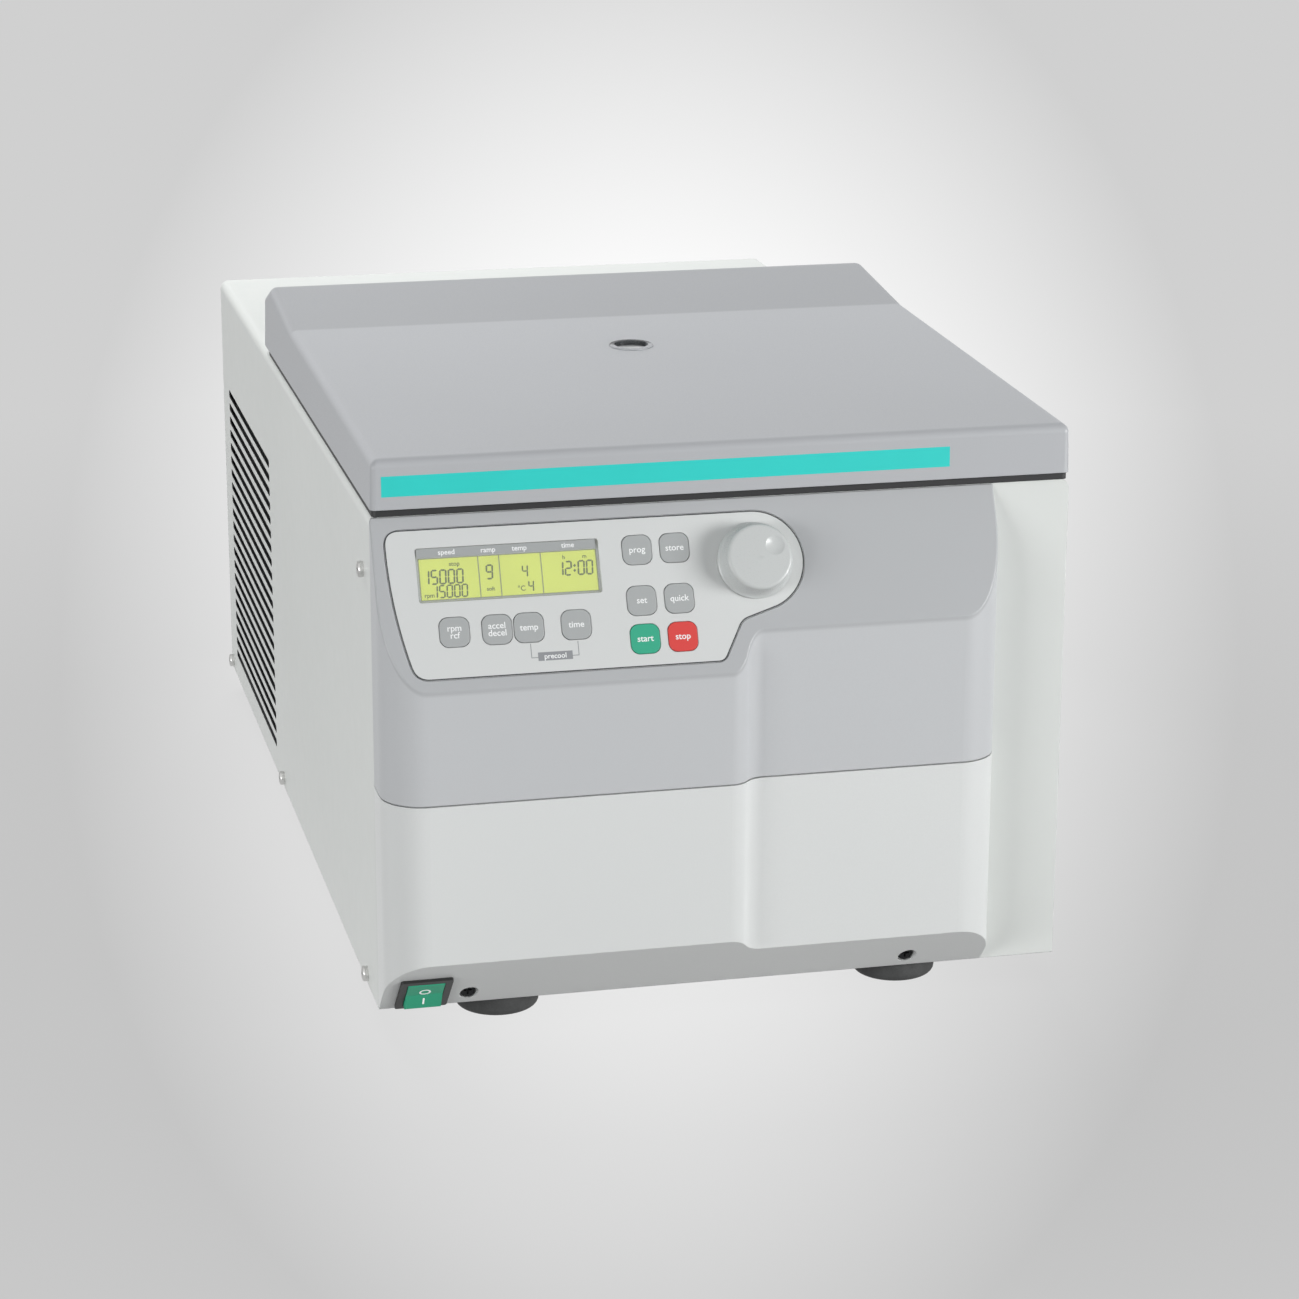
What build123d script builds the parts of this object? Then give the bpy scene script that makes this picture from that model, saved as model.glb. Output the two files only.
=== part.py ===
from build123d import *
import os
from math import atan, cos, radians, sin, tan

os.makedirs("parts", exist_ok=True)

# Cabinet, millimetres.
cabinet_width = 400.0
cabinet_depth = 684.0
cabinet_height = 287.0
sheet = 1.5
bend_radius = 6.0
foot_height = 15.0
foot_diameter = 48.6
foot_inset_left = 73.8
foot_inset_right = 87.6
foot_inset_front = 33.0
foot_inset_rear = 60.0
pan_flange = 22.0
panel_gap = 0.1

# Fascia, a stepped moulding in front of the cabinet.
fascia_width = 355.0
fascia_reach = 42.0
fascia_step = 10.0
fascia_step_start = 194.0
fascia_step_run = 20.0
fascia_corner = 24.0
fascia_wall = 3.0
seam_height = 133.0
seam_gap = 0.8
console_top = 286.5
console_lean = 25.5
undercut_lean = 43.5
edge_round = 1.2

# Console parts, placed by their distance from the left side and down the slope.
membrane_thick = 1.2
membrane_recess = 1.0
fit_gap = 0.3
knob_across = 212.3
knob_down = 36.0
knob_diameter = 42.8
knob_face = 36.6
knob_height = 14.0
key_size = 16.4
key_corner = 5.0
key_rise = 0.5
key_travel = 0.8
key_clearance = 0.25
key_tab = 1.8
key_flange = 1.2
window_left = 23.4
window_right = 125.0
window_up = 18.4
window_down = 48.4
display_up = 23.8
display_ledge = 1.2
board_depth = 9.5
board_thick = 1.6
board_left = 14.0
board_right = 238.0
board_step = 194.0
board_up = 20.0
board_down = 92.0
board_step_down = 62.0
encoder_size = 13.0
encoder_shaft_diameter = 6.0
bushing_diameter = 9.0
shaft_play = 0.05

# Mains switch on the undercut.
switch_left = 8.4
switch_width = 29.6
switch_low = 2.6
switch_tall = 37.5
switch_rim = 4.4
switch_body_depth = 16.0
rim_height = 1.8
rocker_swing = 14.0
rocker_gap = 0.4
rocker_play = 1.5
rocker_pivot_depth = 4.0
access_hole = 10.6
access_left = 49.8
access_right = 307.6
access_along = 14.3

# Side louvres.
slot_count = 21
slot_pitch = 9.65
slot_height = 5.4
slot_length = 219.0
slot_front = 432.0
slot_low = 19.0

# Chamber and bowl.
chamber_back = 240.0
bowl_radius = 145.0
bowl_depth = 161.0
bowl_wall = 1.2
bowl_corner = 22.0
bowl_flange = 13.0
deck_play = 2.0
surround_thick = 3.5
surround_margin = 1.5
gasket_width = 8.0
coil_tube = 8.0
coil_turns = 4.5
coil_pitch = 21.0
foam_wall = 14.0
guard_thick = 5.0
guard_low = 60.0

# Drive.
motor_plate_thick = 6.0
mount_height = 25.0
mount_diameter = 30.0
motor_radius = 62.0
motor_height = 74.0
shaft_radius = 9.0
shaft_hole_radius = 30.0
running_gap = 0.1

# Rotor for six tubes.
tube_count = 6
tube_bore = 29.6
tube_depth = 85.0
tube_tilt = 30.0
rotor_radius = 118.0
rotor_height = 107.0
rotor_floor_gap = 20.0
nut_radius = 19.0
nut_height = 20.0

# Lid.
lid_depth = 458.0
lid_overhang = 2.5
lid_gap = 0.5
lid_front_height = 28.0
lid_slope = 1.0
lid_crease = 320.0
lid_ramp_rise = 9.5
lid_ramp_end = 415.0
lid_fall_back = 450.0
lid_fall_height = 29.5
lid_shoulder_height = 11.0
lid_margin = 0.5
lid_wall = 3.0
lid_draft = 1.6
lid_edge_round = 5.0
lid_front_corner = 3.5
lid_crease_round = 14.0
lid_rear_corner = 20.0
liner_thick = 3.0
liner_rise = 2.0
liner_back = 412.0
stiffener_thick = 4.0
port_outer = 27.0
port_tube = 24.0
port_clear = 21.0
port_back = 238.0

# Hinges, set behind the lid.
hinge_back = 464.0
hinge_rise = 9.0
hinge_knuckle = 10.0
hinge_pin = 5.0
hinge_width = 60.0
hinge_spread = 220.0
hinge_leaf = 2.5
knuckle_gap = 0.4

# Lid lock.
striker_spread = 200.0
striker_back = 32.0
striker_width = 20.0
striker_thick = 3.0
striker_reach = 31.0
striker_slot_gap = 2.2
lock_nose = 7.0
lock_nose_length = 6.5
lock_rest_gap = 2.0
lock_end_gap = 0.5
lock_travel = lock_rest_gap + lock_nose_length - lock_end_gap
lock_bar_height = 12.0
lock_bar_depth = 7.0

# Cooling set in the rear bay.
condenser_inset = 5.0
condenser_width = 28.0
condenser_front = 438.0
condenser_rear_gap = 16.8
condenser_low = 20.0
condenser_height = 196.0
condenser_fins = 24
fin_thick = 0.8
fan_radius = 84.0
fan_blades = 5
fan_hub = 28.0
fan_depth = 18.0
post_size = 20.0
condenser_length = (
    cabinet_depth - condenser_front - 2 * sheet - 2 * panel_gap - post_size - condenser_rear_gap
)
compressor_across = 90.0
compressor_back = 560.0
compressor_radius = 68.0
compressor_height = 168.0
compressor_spacing = 120.0

# Pan-head screws.
screw_head = 9.0
screw_head_height = 3.2
screw_shank = 4.0
screw_length = 6.0

# Rear panel fittings.
rear_rim = 3.2
inlet_width = 48.0
inlet_height = 28.0

# Reference planes and places worked out from the sizes above.
left_x = -cabinet_width / 2
front_y = -(cabinet_depth + rear_rim - fascia_reach) / 2
rear_y = front_y + cabinet_depth
base_z = foot_height
deck_z = base_z + cabinet_height
lid_z = deck_z + surround_thick + lid_gap
chamber_y = front_y + chamber_back
seam_z = base_z + seam_height
console_z = base_z + console_top
pan_top = base_z + sheet
console_plane = Plane(
    origin=(left_x, front_y, console_z),
    x_dir=(1, 0, 0),
    z_dir=(0, -cos(radians(console_lean)), sin(radians(console_lean))),
)
undercut_plane = Plane(
    origin=(left_x, front_y, base_z),
    x_dir=(1, 0, 0),
    z_dir=(0, -sin(radians(undercut_lean)), -cos(radians(undercut_lean))),
)
chamber_plane = Plane.XY.move(Location((0, chamber_y, 0)))


def fascia_outline(inset):
    """Plan outline of the fascia at a wall inset, from the cabinet's left side to its right end."""
    left = left_x + inset
    right = left_x + fascia_width - inset
    reach = front_y - fascia_reach + inset
    low_reach = reach + fascia_step
    corner = fascia_corner - inset
    half_turn = 2 * atan(fascia_step / fascia_step_run)
    s_radius = fascia_step_run / 2 / sin(half_turn)
    step_x = left_x + fascia_step_start
    step_end = step_x + fascia_step_run
    full_reach = front_y - fascia_reach
    first = (step_x, full_reach + s_radius)
    second = (step_end, full_reach + fascia_step - s_radius)
    near = s_radius - inset
    far = s_radius + inset
    half = half_turn / 2
    middle = (first[0] + near * sin(half_turn), first[1] - near * cos(half_turn))
    with BuildSketch() as outline:
        with BuildLine():
            Line((left, front_y), (left, reach + corner))
            RadiusArc((left, reach + corner), (left + corner, reach), -corner)
            Line((left + corner, reach), (step_x, reach))
            ThreePointArc(
                (step_x, reach),
                (first[0] + near * sin(half), first[1] - near * cos(half)),
                middle,
            )
            ThreePointArc(
                middle,
                (second[0] - far * sin(half), second[1] + far * cos(half)),
                (step_end, low_reach),
            )
            Line((step_end, low_reach), (right - corner, low_reach))
            RadiusArc((right - corner, low_reach), (right, low_reach + corner), -corner)
            Line((right, low_reach + corner), (right, front_y))
            Line((right, front_y), (left, front_y))
        make_face()
    return outline.sketch


def membrane_outline(grow):
    """Outline of the control membrane on the console face, with its round lobe about the knob."""
    lobe = 28.4
    top = -knob_down + lobe
    bottom = -91.2
    upper_left = (6.9, top)
    lower_left = (18.0, bottom)
    lower_right = (190.3, bottom)
    neck = (202.4, -68.7)
    with BuildSketch() as outline:
        with BuildLine():
            Line((knob_across, top), upper_left)
            ThreePointArc(upper_left, (9.0, -49.4), lower_left)
            Polyline(lower_left, lower_right, neck, (222.9, -62.3))
            ThreePointArc((222.9, -62.3), (knob_across + lobe, -knob_down), (knob_across, top))
        make_face()
        for corner, radius in (
            (upper_left, 9.0),
            (lower_left, 10.0),
            (lower_right, 7.0),
            (neck, 9.0),
        ):
            fillet(outline.vertices().sort_by_distance(corner)[0], radius)
        if grow > 0:
            offset(amount=grow)
    return outline.sketch


def pan_head_screws(places, length):
    """Pan-head screws, each standing on its own plane with the head outward."""
    with BuildPart() as screws:
        for place in places:
            with BuildSketch(place):
                Circle(screw_head / 2)
            head = extrude(amount=screw_head_height)
            fillet(head.edges().group_by(Axis(place.origin, place.z_dir))[-1], 1.2)
            with BuildSketch(place.offset(screw_head_height)):
                Rectangle(screw_head * 0.55, 1.0)
                Rectangle(1.0, screw_head * 0.55)
            extrude(amount=-1.4, mode=Mode.SUBTRACT)
            with BuildSketch(place):
                Circle(screw_shank / 2)
            extrude(amount=-length)
    return screws


# Openings in the cover's front, behind the controls and behind the mains switch.
control_low = 58.0
control_high = 272.0
control_margin = 9.0
switch_notch_low = 5.0
switch_notch_high = 27.0
switch_notch_middle = (
    left_x + switch_left + switch_width / 2,
    base_z + (switch_notch_low + switch_notch_high) / 2,
)

# Screw seats on the cover's sides, rear panel and fascia bosses.
side_screw_spots = [(40.5, 6.0), (398.0, 6.0), (674.0, 6.0)]
side_planes = []
for along, up in side_screw_spots + [(26.0, 251.0)]:
    side_planes.append(
        Plane(
            origin=(left_x, front_y + along, base_z + up), x_dir=(0, 1, 0), z_dir=(-1, 0, 0)
        )
    )
    side_planes.append(
        Plane(
            origin=(-left_x, front_y + along, base_z + up), x_dir=(0, 1, 0), z_dir=(1, 0, 0)
        )
    )
rear_screw_spots = [
    (side * (cabinet_width / 2 - 12), base_z + up)
    for side in (-1, 1)
    for up in (12.0, cabinet_height / 2, cabinet_height - 20.0)
]
rear_planes = [
    Plane(origin=(across, rear_y, up), x_dir=(1, 0, 0), z_dir=(0, 1, 0))
    for across, up in rear_screw_spots
]
access_drop = access_along * sin(radians(undercut_lean))
access_floor = 3.0
fascia_screw_planes = [
    Plane(
        origin=(left_x + across, front_y - access_floor, base_z + access_drop),
        x_dir=(1, 0, 0),
        z_dir=(0, -1, 0),
    )
    for across in (access_left, access_right)
]
striker_xs = (-striker_spread / 2, striker_spread / 2)
striker_y = front_y + striker_back


def cover_outline(inset):
    """Front view of the sheet cover at an inset, open at the foot and rounded at both top bends."""
    wide = cabinet_width - 2 * inset
    tall = cabinet_height - inset
    with BuildSketch() as outline:
        with Locations((0, base_z + tall / 2)):
            Rectangle(wide, tall)
        fillet(outline.vertices().group_by(Axis.Y)[-1], bend_radius - inset)
    return outline.sketch


# Sheet cover that wraps over both sides, the deck and the front.
with BuildPart() as housing_cover:
    with BuildSketch(Plane.XZ.offset(-front_y)):
        add(cover_outline(0))
        add(cover_outline(sheet), mode=Mode.SUBTRACT)
    extrude(amount=-cabinet_depth)
    with BuildSketch(Plane.XZ.offset(-front_y)):
        add(cover_outline(0))
    extrude(amount=-sheet)
    # Deck opening for the bowl.
    with BuildSketch(chamber_plane.offset(deck_z + 1)):
        Circle(bowl_radius + bowl_wall + deck_play)
    extrude(amount=-sheet - 2, mode=Mode.SUBTRACT)
    # Window behind the fascia for the controls and wiring.
    with BuildSketch(Plane.XZ.offset(-front_y)):
        with Locations((left_x + fascia_width / 2, base_z + (control_low + control_high) / 2)):
            RectangleRounded(fascia_width - 2 * control_margin, control_high - control_low, 8.0)
        with Locations(switch_notch_middle):
            Rectangle(switch_width + 2 * fit_gap, switch_notch_high - switch_notch_low)
    extrude(amount=-2 * sheet, mode=Mode.SUBTRACT)
    # Striker slots.
    with BuildSketch(Plane.XY.offset(deck_z + 1)):
        with Locations(*[(x, striker_y) for x in striker_xs]):
            RectangleRounded(
                striker_width + 2 * striker_slot_gap, striker_thick + 2 * striker_slot_gap, 2.0
            )
    extrude(amount=-sheet - 2, mode=Mode.SUBTRACT)
    # Louvre slots on both sides.
    with BuildSketch(Plane.YZ.offset(left_x - 1)):
        with Locations((front_y + slot_front + slot_length / 2, base_z + slot_low)):
            with GridLocations(0, slot_pitch, 1, slot_count, align=(Align.CENTER, Align.MIN)):
                SlotOverall(slot_length, slot_height)
    extrude(amount=cabinet_width + 2, mode=Mode.SUBTRACT)
    # Shank holes.
    for place in side_planes + fascia_screw_planes:
        with BuildSketch(place):
            Circle(screw_shank / 2 + panel_gap)
        extrude(amount=-screw_length, mode=Mode.SUBTRACT)
housing_cover.part.label = "housing_cover"
export_step(housing_cover.part, "parts/housing_cover.step")

# Base pan with upturned flanges, inside the cover.
pan_width = cabinet_width - 2 * sheet - 2 * panel_gap
pan_depth = cabinet_depth - 2 * sheet - 2 * panel_gap
pan_y = front_y + cabinet_depth / 2
pan_plane = Plane.XY.offset(base_z).move(Location((0, pan_y, 0)))
foot_spots = [
    (left_x + foot_inset_left, front_y + foot_inset_front),
    (-left_x - foot_inset_right, front_y + foot_inset_front),
    (left_x + foot_inset_left, rear_y - foot_inset_rear),
    (-left_x - foot_inset_right, rear_y - foot_inset_rear),
]
foot_stud = 6.0
with BuildPart() as base_pan:
    with BuildSketch(pan_plane):
        Rectangle(pan_width, pan_depth)
    extrude(amount=pan_flange)
    with BuildSketch(pan_plane.offset(sheet)):
        Rectangle(pan_width - 2 * sheet, pan_depth - 2 * sheet)
    extrude(amount=pan_flange, mode=Mode.SUBTRACT)
    with BuildSketch(Plane.XY.offset(base_z)):
        with Locations(*foot_spots):
            Circle(foot_stud / 2 + panel_gap)
    extrude(amount=sheet, mode=Mode.SUBTRACT)
    with BuildSketch(Plane.XZ.offset(-front_y)):
        with Locations(switch_notch_middle):
            Rectangle(switch_width + 2 * fit_gap, switch_notch_high - switch_notch_low)
    extrude(amount=-3 * sheet, mode=Mode.SUBTRACT)
    for place in side_planes + fascia_screw_planes + rear_planes:
        with BuildSketch(place):
            Circle(screw_shank / 2 + panel_gap)
        extrude(amount=-screw_length - panel_gap, mode=Mode.SUBTRACT)
base_pan.part.label = "base_pan"
export_step(base_pan.part, "parts/base_pan.step")

# Round rubber feet with a pocket under each for its stud's head.
foot_pocket = 16.0
foot_pocket_depth = 6.0
with BuildPart() as feet:
    for spot in foot_spots:
        foot_plane = Plane.XY.move(Location((*spot, 0)))
        with BuildSketch(foot_plane):
            Circle(foot_diameter / 2)
        pad = extrude(amount=foot_height)
        fillet(pad.edges().filter_by(GeomType.CIRCLE).sort_by(Axis.Z)[0], 4.0)
        with BuildSketch(foot_plane):
            Circle(foot_pocket / 2)
        extrude(amount=foot_pocket_depth, mode=Mode.SUBTRACT)
        with BuildSketch(foot_plane):
            Circle(foot_stud / 2 + panel_gap)
        extrude(amount=foot_height, mode=Mode.SUBTRACT)
feet.part.label = "feet"
export_step(feet.part, "parts/feet.step")

# Studs that hold the feet to the pan, each with a round head and a nut above the pan.
nut_across = 10.0
with BuildPart() as foot_studs:
    for spot in foot_spots:
        head_plane = Plane.XY.offset(foot_pocket_depth).move(Location((*spot, 0)))
        with BuildSketch(head_plane):
            Circle(foot_pocket / 2 - 2.0)
        extrude(amount=-2.5)
        with BuildSketch(head_plane):
            Circle(foot_stud / 2)
        extrude(amount=pan_top - foot_pocket_depth + 7.0)
        with BuildSketch(Plane.XY.offset(pan_top).move(Location((*spot, 0)))):
            RegularPolygon(nut_across / 2, 6, major_radius=False)
        extrude(amount=5.0)
foot_studs.part.label = "foot_studs"
export_step(foot_studs.part, "parts/foot_studs.step")

# Rear panel with a slotted air grille for the cooling set and an opening for the inlet.
inlet_x = -left_x - 62.0
inlet_z = base_z + 62.0
grille_slots = 16
grille_pitch = 9.65
grille_length = 150.0
grille_low = 60.0
grille_x = left_x + 118.0
with BuildPart() as rear_panel:
    with BuildSketch(Plane.XZ.offset(-rear_y)):
        add(cover_outline(sheet + panel_gap))
    extrude(amount=sheet)
    with BuildSketch(Plane.XZ.offset(-rear_y)):
        with Locations((grille_x, base_z + grille_low)):
            with GridLocations(0, grille_pitch, 1, grille_slots, align=(Align.CENTER, Align.MIN)):
                SlotOverall(grille_length, slot_height)
        with Locations((inlet_x, inlet_z)):
            Rectangle(inlet_width - 12.0, inlet_height - 4.0)
    extrude(amount=sheet, mode=Mode.SUBTRACT)
    for place in rear_planes:
        with BuildSketch(place):
            Circle(screw_shank / 2 + panel_gap)
        extrude(amount=-screw_length, mode=Mode.SUBTRACT)
rear_panel.part.label = "rear_panel"
export_step(rear_panel.part, "parts/rear_panel.step")

# Corner posts that carry the rear panel and stiffen the cover.
post_wall = 2.0
with BuildPart() as corner_posts:
    for side in (-1, 1):
        post_x = side * (cabinet_width / 2 - bend_radius - panel_gap - post_size / 2)
        with BuildSketch(Plane.XY.offset(pan_top)):
            with Locations((post_x, rear_y - 2 * sheet - 2 * panel_gap - post_size / 2)):
                Rectangle(post_size, post_size)
                Rectangle(post_size - 2 * post_wall, post_size - 2 * post_wall, mode=Mode.SUBTRACT)
        extrude(amount=deck_z - sheet - pan_top)
    for place in rear_planes:
        with BuildSketch(place):
            Circle(screw_shank / 2 + panel_gap)
        extrude(amount=-screw_length, mode=Mode.SUBTRACT)
corner_posts.part.label = "corner_posts"
export_step(corner_posts.part, "parts/corner_posts.step")

# Pan-head screws of the sides and the fascia, and of the rear panel.
panel_screws = pan_head_screws(side_planes + fascia_screw_planes + rear_planes, screw_length)
panel_screws.part.label = "panel_screws"
export_step(panel_screws.part, "parts/panel_screws.step")

# Appliance inlet in the rear panel, with three contact blades in a shrouded recess.
inlet_body_depth = 26.0
with BuildPart() as power_inlet:
    with BuildSketch(Plane.XZ.offset(-rear_y)):
        with Locations((inlet_x, inlet_z)):
            RectangleRounded(inlet_width, inlet_height, 3.0)
    extrude(amount=-rear_rim)
    with BuildSketch(Plane.XZ.offset(-rear_y)):
        with Locations((inlet_x, inlet_z)):
            Rectangle(inlet_width - 12.6, inlet_height - 4.6)
    extrude(amount=inlet_body_depth)
    with BuildSketch(Plane.XZ.offset(-rear_y - rear_rim)):
        with Locations((inlet_x, inlet_z)):
            Rectangle(inlet_width - 20.0, inlet_height - 9.0)
    extrude(amount=inlet_body_depth - 6.0, mode=Mode.SUBTRACT)
    with BuildSketch(Plane.XZ.offset(-rear_y + inlet_body_depth - 8.0)):
        with Locations((inlet_x - 7.0, inlet_z), (inlet_x, inlet_z + 4.0), (inlet_x + 7.0, inlet_z)):
            Rectangle(2.0, 6.0)
    extrude(amount=-14.0)
power_inlet.part.label = "power_inlet"
export_step(power_inlet.part, "parts/power_inlet.step")

# Black surround plate on the deck, under the lid, with openings for the bowl and the strikers.
surround_depth = lid_depth - 30.0
surround_lip = 1.2
bowl_flange_radius = bowl_radius + bowl_flange
with BuildPart() as chamber_surround:
    with BuildSketch(Plane.XY.offset(deck_z)):
        with Locations((0, front_y + (surround_depth - surround_lip) / 2)):
            RectangleRounded(
                cabinet_width - 2 * surround_margin, surround_depth + surround_lip, 3.0
            )
        with Locations((0, chamber_y)):
            Circle(bowl_flange_radius + fit_gap, mode=Mode.SUBTRACT)
        with Locations(*[(x, striker_y) for x in striker_xs]):
            RectangleRounded(
                striker_width + 2 * striker_slot_gap,
                striker_thick + 2 * striker_slot_gap,
                2.0,
                mode=Mode.SUBTRACT,
            )
    extrude(amount=surround_thick)
chamber_surround.part.label = "chamber_surround"
export_step(chamber_surround.part, "parts/chamber_surround.step")

# Stainless bowl with a rolled floor corner, a hole for the shaft and a rim on the deck.
chamber_axis = Axis((0, chamber_y, 0), (0, 0, 1))
profile_plane = Plane.XZ.offset(-chamber_y)
bowl_floor_z = deck_z + bowl_wall - bowl_depth
bowl_under_z = bowl_floor_z - bowl_wall
with BuildPart() as chamber_bowl:
    with BuildSketch(profile_plane):
        with BuildLine():
            outer = bowl_radius + bowl_wall
            turn_r = bowl_radius - bowl_corner
            turn_z = bowl_floor_z + bowl_corner
            Line((shaft_hole_radius, bowl_floor_z), (turn_r, bowl_floor_z))
            RadiusArc((turn_r, bowl_floor_z), (bowl_radius, turn_z), -bowl_corner)
            Polyline(
                (bowl_radius, turn_z),
                (bowl_radius, deck_z + bowl_wall),
                (bowl_flange_radius, deck_z + bowl_wall),
                (bowl_flange_radius, deck_z),
                (outer, deck_z),
                (outer, turn_z),
            )
            RadiusArc((outer, turn_z), (turn_r, bowl_under_z), bowl_corner + bowl_wall)
            Polyline(
                (turn_r, bowl_under_z),
                (shaft_hole_radius, bowl_under_z),
                (shaft_hole_radius, bowl_floor_z),
            )
        make_face()
    revolve(axis=chamber_axis)
chamber_bowl.part.label = "chamber_bowl"
export_step(chamber_bowl.part, "parts/chamber_bowl.step")

# Rubber chamber gasket on the bowl's rim, up to the lid's liner.
gasket_base = deck_z + bowl_wall
gasket_top = lid_z + liner_rise - 0.1
gasket_radius = bowl_flange_radius - gasket_width / 2 - 0.5
with BuildPart() as chamber_gasket:
    with BuildSketch(profile_plane):
        with Locations((gasket_radius, (gasket_base + gasket_top) / 2)):
            RectangleRounded(gasket_width, gasket_top - gasket_base, 1.2)
    revolve(axis=chamber_axis)
chamber_gasket.part.label = "chamber_gasket"
export_step(chamber_gasket.part, "parts/chamber_gasket.step")

# Cooling coil, a copper tube wound on the bowl's wall.
coil_radius = bowl_radius + bowl_wall + coil_tube / 2 + shaft_play
coil_low_z = bowl_floor_z + bowl_corner + coil_tube
coil_top_z = coil_low_z + coil_pitch * coil_turns
with BuildPart() as cooling_coil:
    with BuildLine(chamber_plane.offset(coil_low_z)):
        Helix(
            pitch=coil_pitch, height=coil_pitch * coil_turns, radius=coil_radius, lefthand=True
        )
    with BuildSketch(Plane(origin=(coil_radius, chamber_y, coil_low_z), z_dir=(0, -1, 0))):
        Circle(coil_tube / 2)
    sweep(is_frenet=True)
cooling_coil.part.label = "cooling_coil"
export_step(cooling_coil.part, "parts/cooling_coil.step")

# Foam jacket round the coil, closed under the bowl.
seal_flange_radius = shaft_hole_radius + 8.0
foam_inner = coil_radius + coil_tube / 2 + fit_gap
foam_outer = foam_inner + foam_wall
foam_floor = 18.0
foam_low_z = bowl_under_z - foam_floor
pipe_hole_plane = Plane.XZ.offset(-chamber_y)
pipe_hole_spots = [(coil_radius, coil_low_z), (-coil_radius, coil_top_z)]
with BuildPart() as foam_jacket:
    with BuildSketch(chamber_plane.offset(foam_low_z)):
        Circle(foam_outer)
    extrude(amount=deck_z - sheet - foam_low_z)
    with BuildSketch(chamber_plane.offset(bowl_under_z)):
        Circle(foam_inner)
    extrude(amount=bowl_depth, mode=Mode.SUBTRACT)
    with BuildSketch(chamber_plane.offset(foam_low_z)):
        Circle(seal_flange_radius + fit_gap)
    extrude(amount=foam_floor, mode=Mode.SUBTRACT)
    with BuildSketch(pipe_hole_plane):
        with Locations(*pipe_hole_spots):
            Circle(coil_tube / 2 + fit_gap)
    extrude(amount=-foam_outer, mode=Mode.SUBTRACT)
foam_jacket.part.label = "foam_jacket"
export_step(foam_jacket.part, "parts/foam_jacket.step")

# Steel guard ring round the chamber, with a shelf under the foam, standing on three legs.
guard_radius = foam_outer + fit_gap
guard_z = base_z + guard_low
guard_shelf = 18.0
leg_width = 24.0
with BuildPart() as guard_ring:
    with BuildSketch(chamber_plane.offset(guard_z)):
        Circle(guard_radius + guard_thick)
        Circle(guard_radius, mode=Mode.SUBTRACT)
    extrude(amount=deck_z - sheet - guard_z)
    with BuildSketch(chamber_plane.offset(foam_low_z - guard_thick)):
        Circle(guard_radius + guard_thick / 2)
        Circle(guard_radius - guard_shelf, mode=Mode.SUBTRACT)
    extrude(amount=guard_thick)
    with BuildSketch(chamber_plane.offset(pan_top)):
        with PolarLocations(guard_radius + guard_thick / 2, 3, start_angle=90):
            Rectangle(guard_thick - 1.0, leg_width)
    extrude(amount=guard_z - pan_top + 1.0)
    with BuildSketch(pipe_hole_plane):
        with Locations(*pipe_hole_spots):
            Circle(coil_tube / 2 + fit_gap)
    extrude(amount=-guard_radius - guard_thick, mode=Mode.SUBTRACT)
guard_ring.part.label = "guard_ring"
export_step(guard_ring.part, "parts/guard_ring.step")

# Rubber mounts on the pan, three under the motor plate and four under the compressor.
mount_top_z = pan_top + mount_height
mount_circle = motor_radius + mount_diameter / 2 + 6.0
compressor_plane = Plane.XY.offset(mount_top_z).move(
    Location((compressor_across, front_y + compressor_back, 0))
)
with BuildPart() as rubber_mounts:
    with BuildSketch(chamber_plane.offset(pan_top)):
        with PolarLocations(mount_circle, 3, start_angle=30):
            Circle(mount_diameter / 2)
    extrude(amount=mount_height)
    with BuildSketch(compressor_plane):
        with GridLocations(compressor_spacing, compressor_spacing, 2, 2):
            Circle(mount_diameter / 2)
    extrude(amount=-mount_height)
    chamfer(rubber_mounts.edges().filter_by(GeomType.CIRCLE), 2.0)
rubber_mounts.part.label = "rubber_mounts"
export_step(rubber_mounts.part, "parts/rubber_mounts.step")

# Three-armed motor plate.
with BuildPart() as motor_plate:
    with BuildSketch(chamber_plane.offset(mount_top_z)):
        Circle(motor_radius + 8.0)
        with PolarLocations(mount_circle, 3, start_angle=30):
            Circle(mount_diameter / 2 + 3.0)
    extrude(amount=motor_plate_thick)
motor_plate.part.label = "motor_plate"
export_step(motor_plate.part, "parts/motor_plate.step")

# Drive motor, a grooved drum with a bearing neck that reaches into the shaft seal.
motor_z = mount_top_z + motor_plate_thick
motor_top_z = motor_z + motor_height
neck_radius = 22.0
neck_top_z = bowl_floor_z - 8.0
fin_groove = 2.5
fin_count = 9
fin_pitch = 5.5
shaft_low_z = motor_z + 12.0
with BuildPart() as drive_motor:
    with BuildSketch(chamber_plane.offset(motor_z)):
        Circle(motor_radius)
    extrude(amount=motor_height)
    for groove in range(fin_count):
        with BuildSketch(chamber_plane.offset(motor_z + 10.0 + groove * fin_pitch)):
            Circle(motor_radius + 1.0)
            Circle(motor_radius - fin_groove, mode=Mode.SUBTRACT)
        extrude(amount=fin_groove, mode=Mode.SUBTRACT)
    with BuildSketch(chamber_plane.offset(motor_top_z)):
        Circle(neck_radius)
    extrude(amount=neck_top_z - motor_top_z)
    with BuildSketch(chamber_plane.offset(shaft_low_z)):
        Circle(shaft_radius + shaft_play)
    extrude(amount=neck_top_z - shaft_low_z, mode=Mode.SUBTRACT)
drive_motor.part.label = "drive_motor"
export_step(drive_motor.part, "parts/drive_motor.step")

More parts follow.
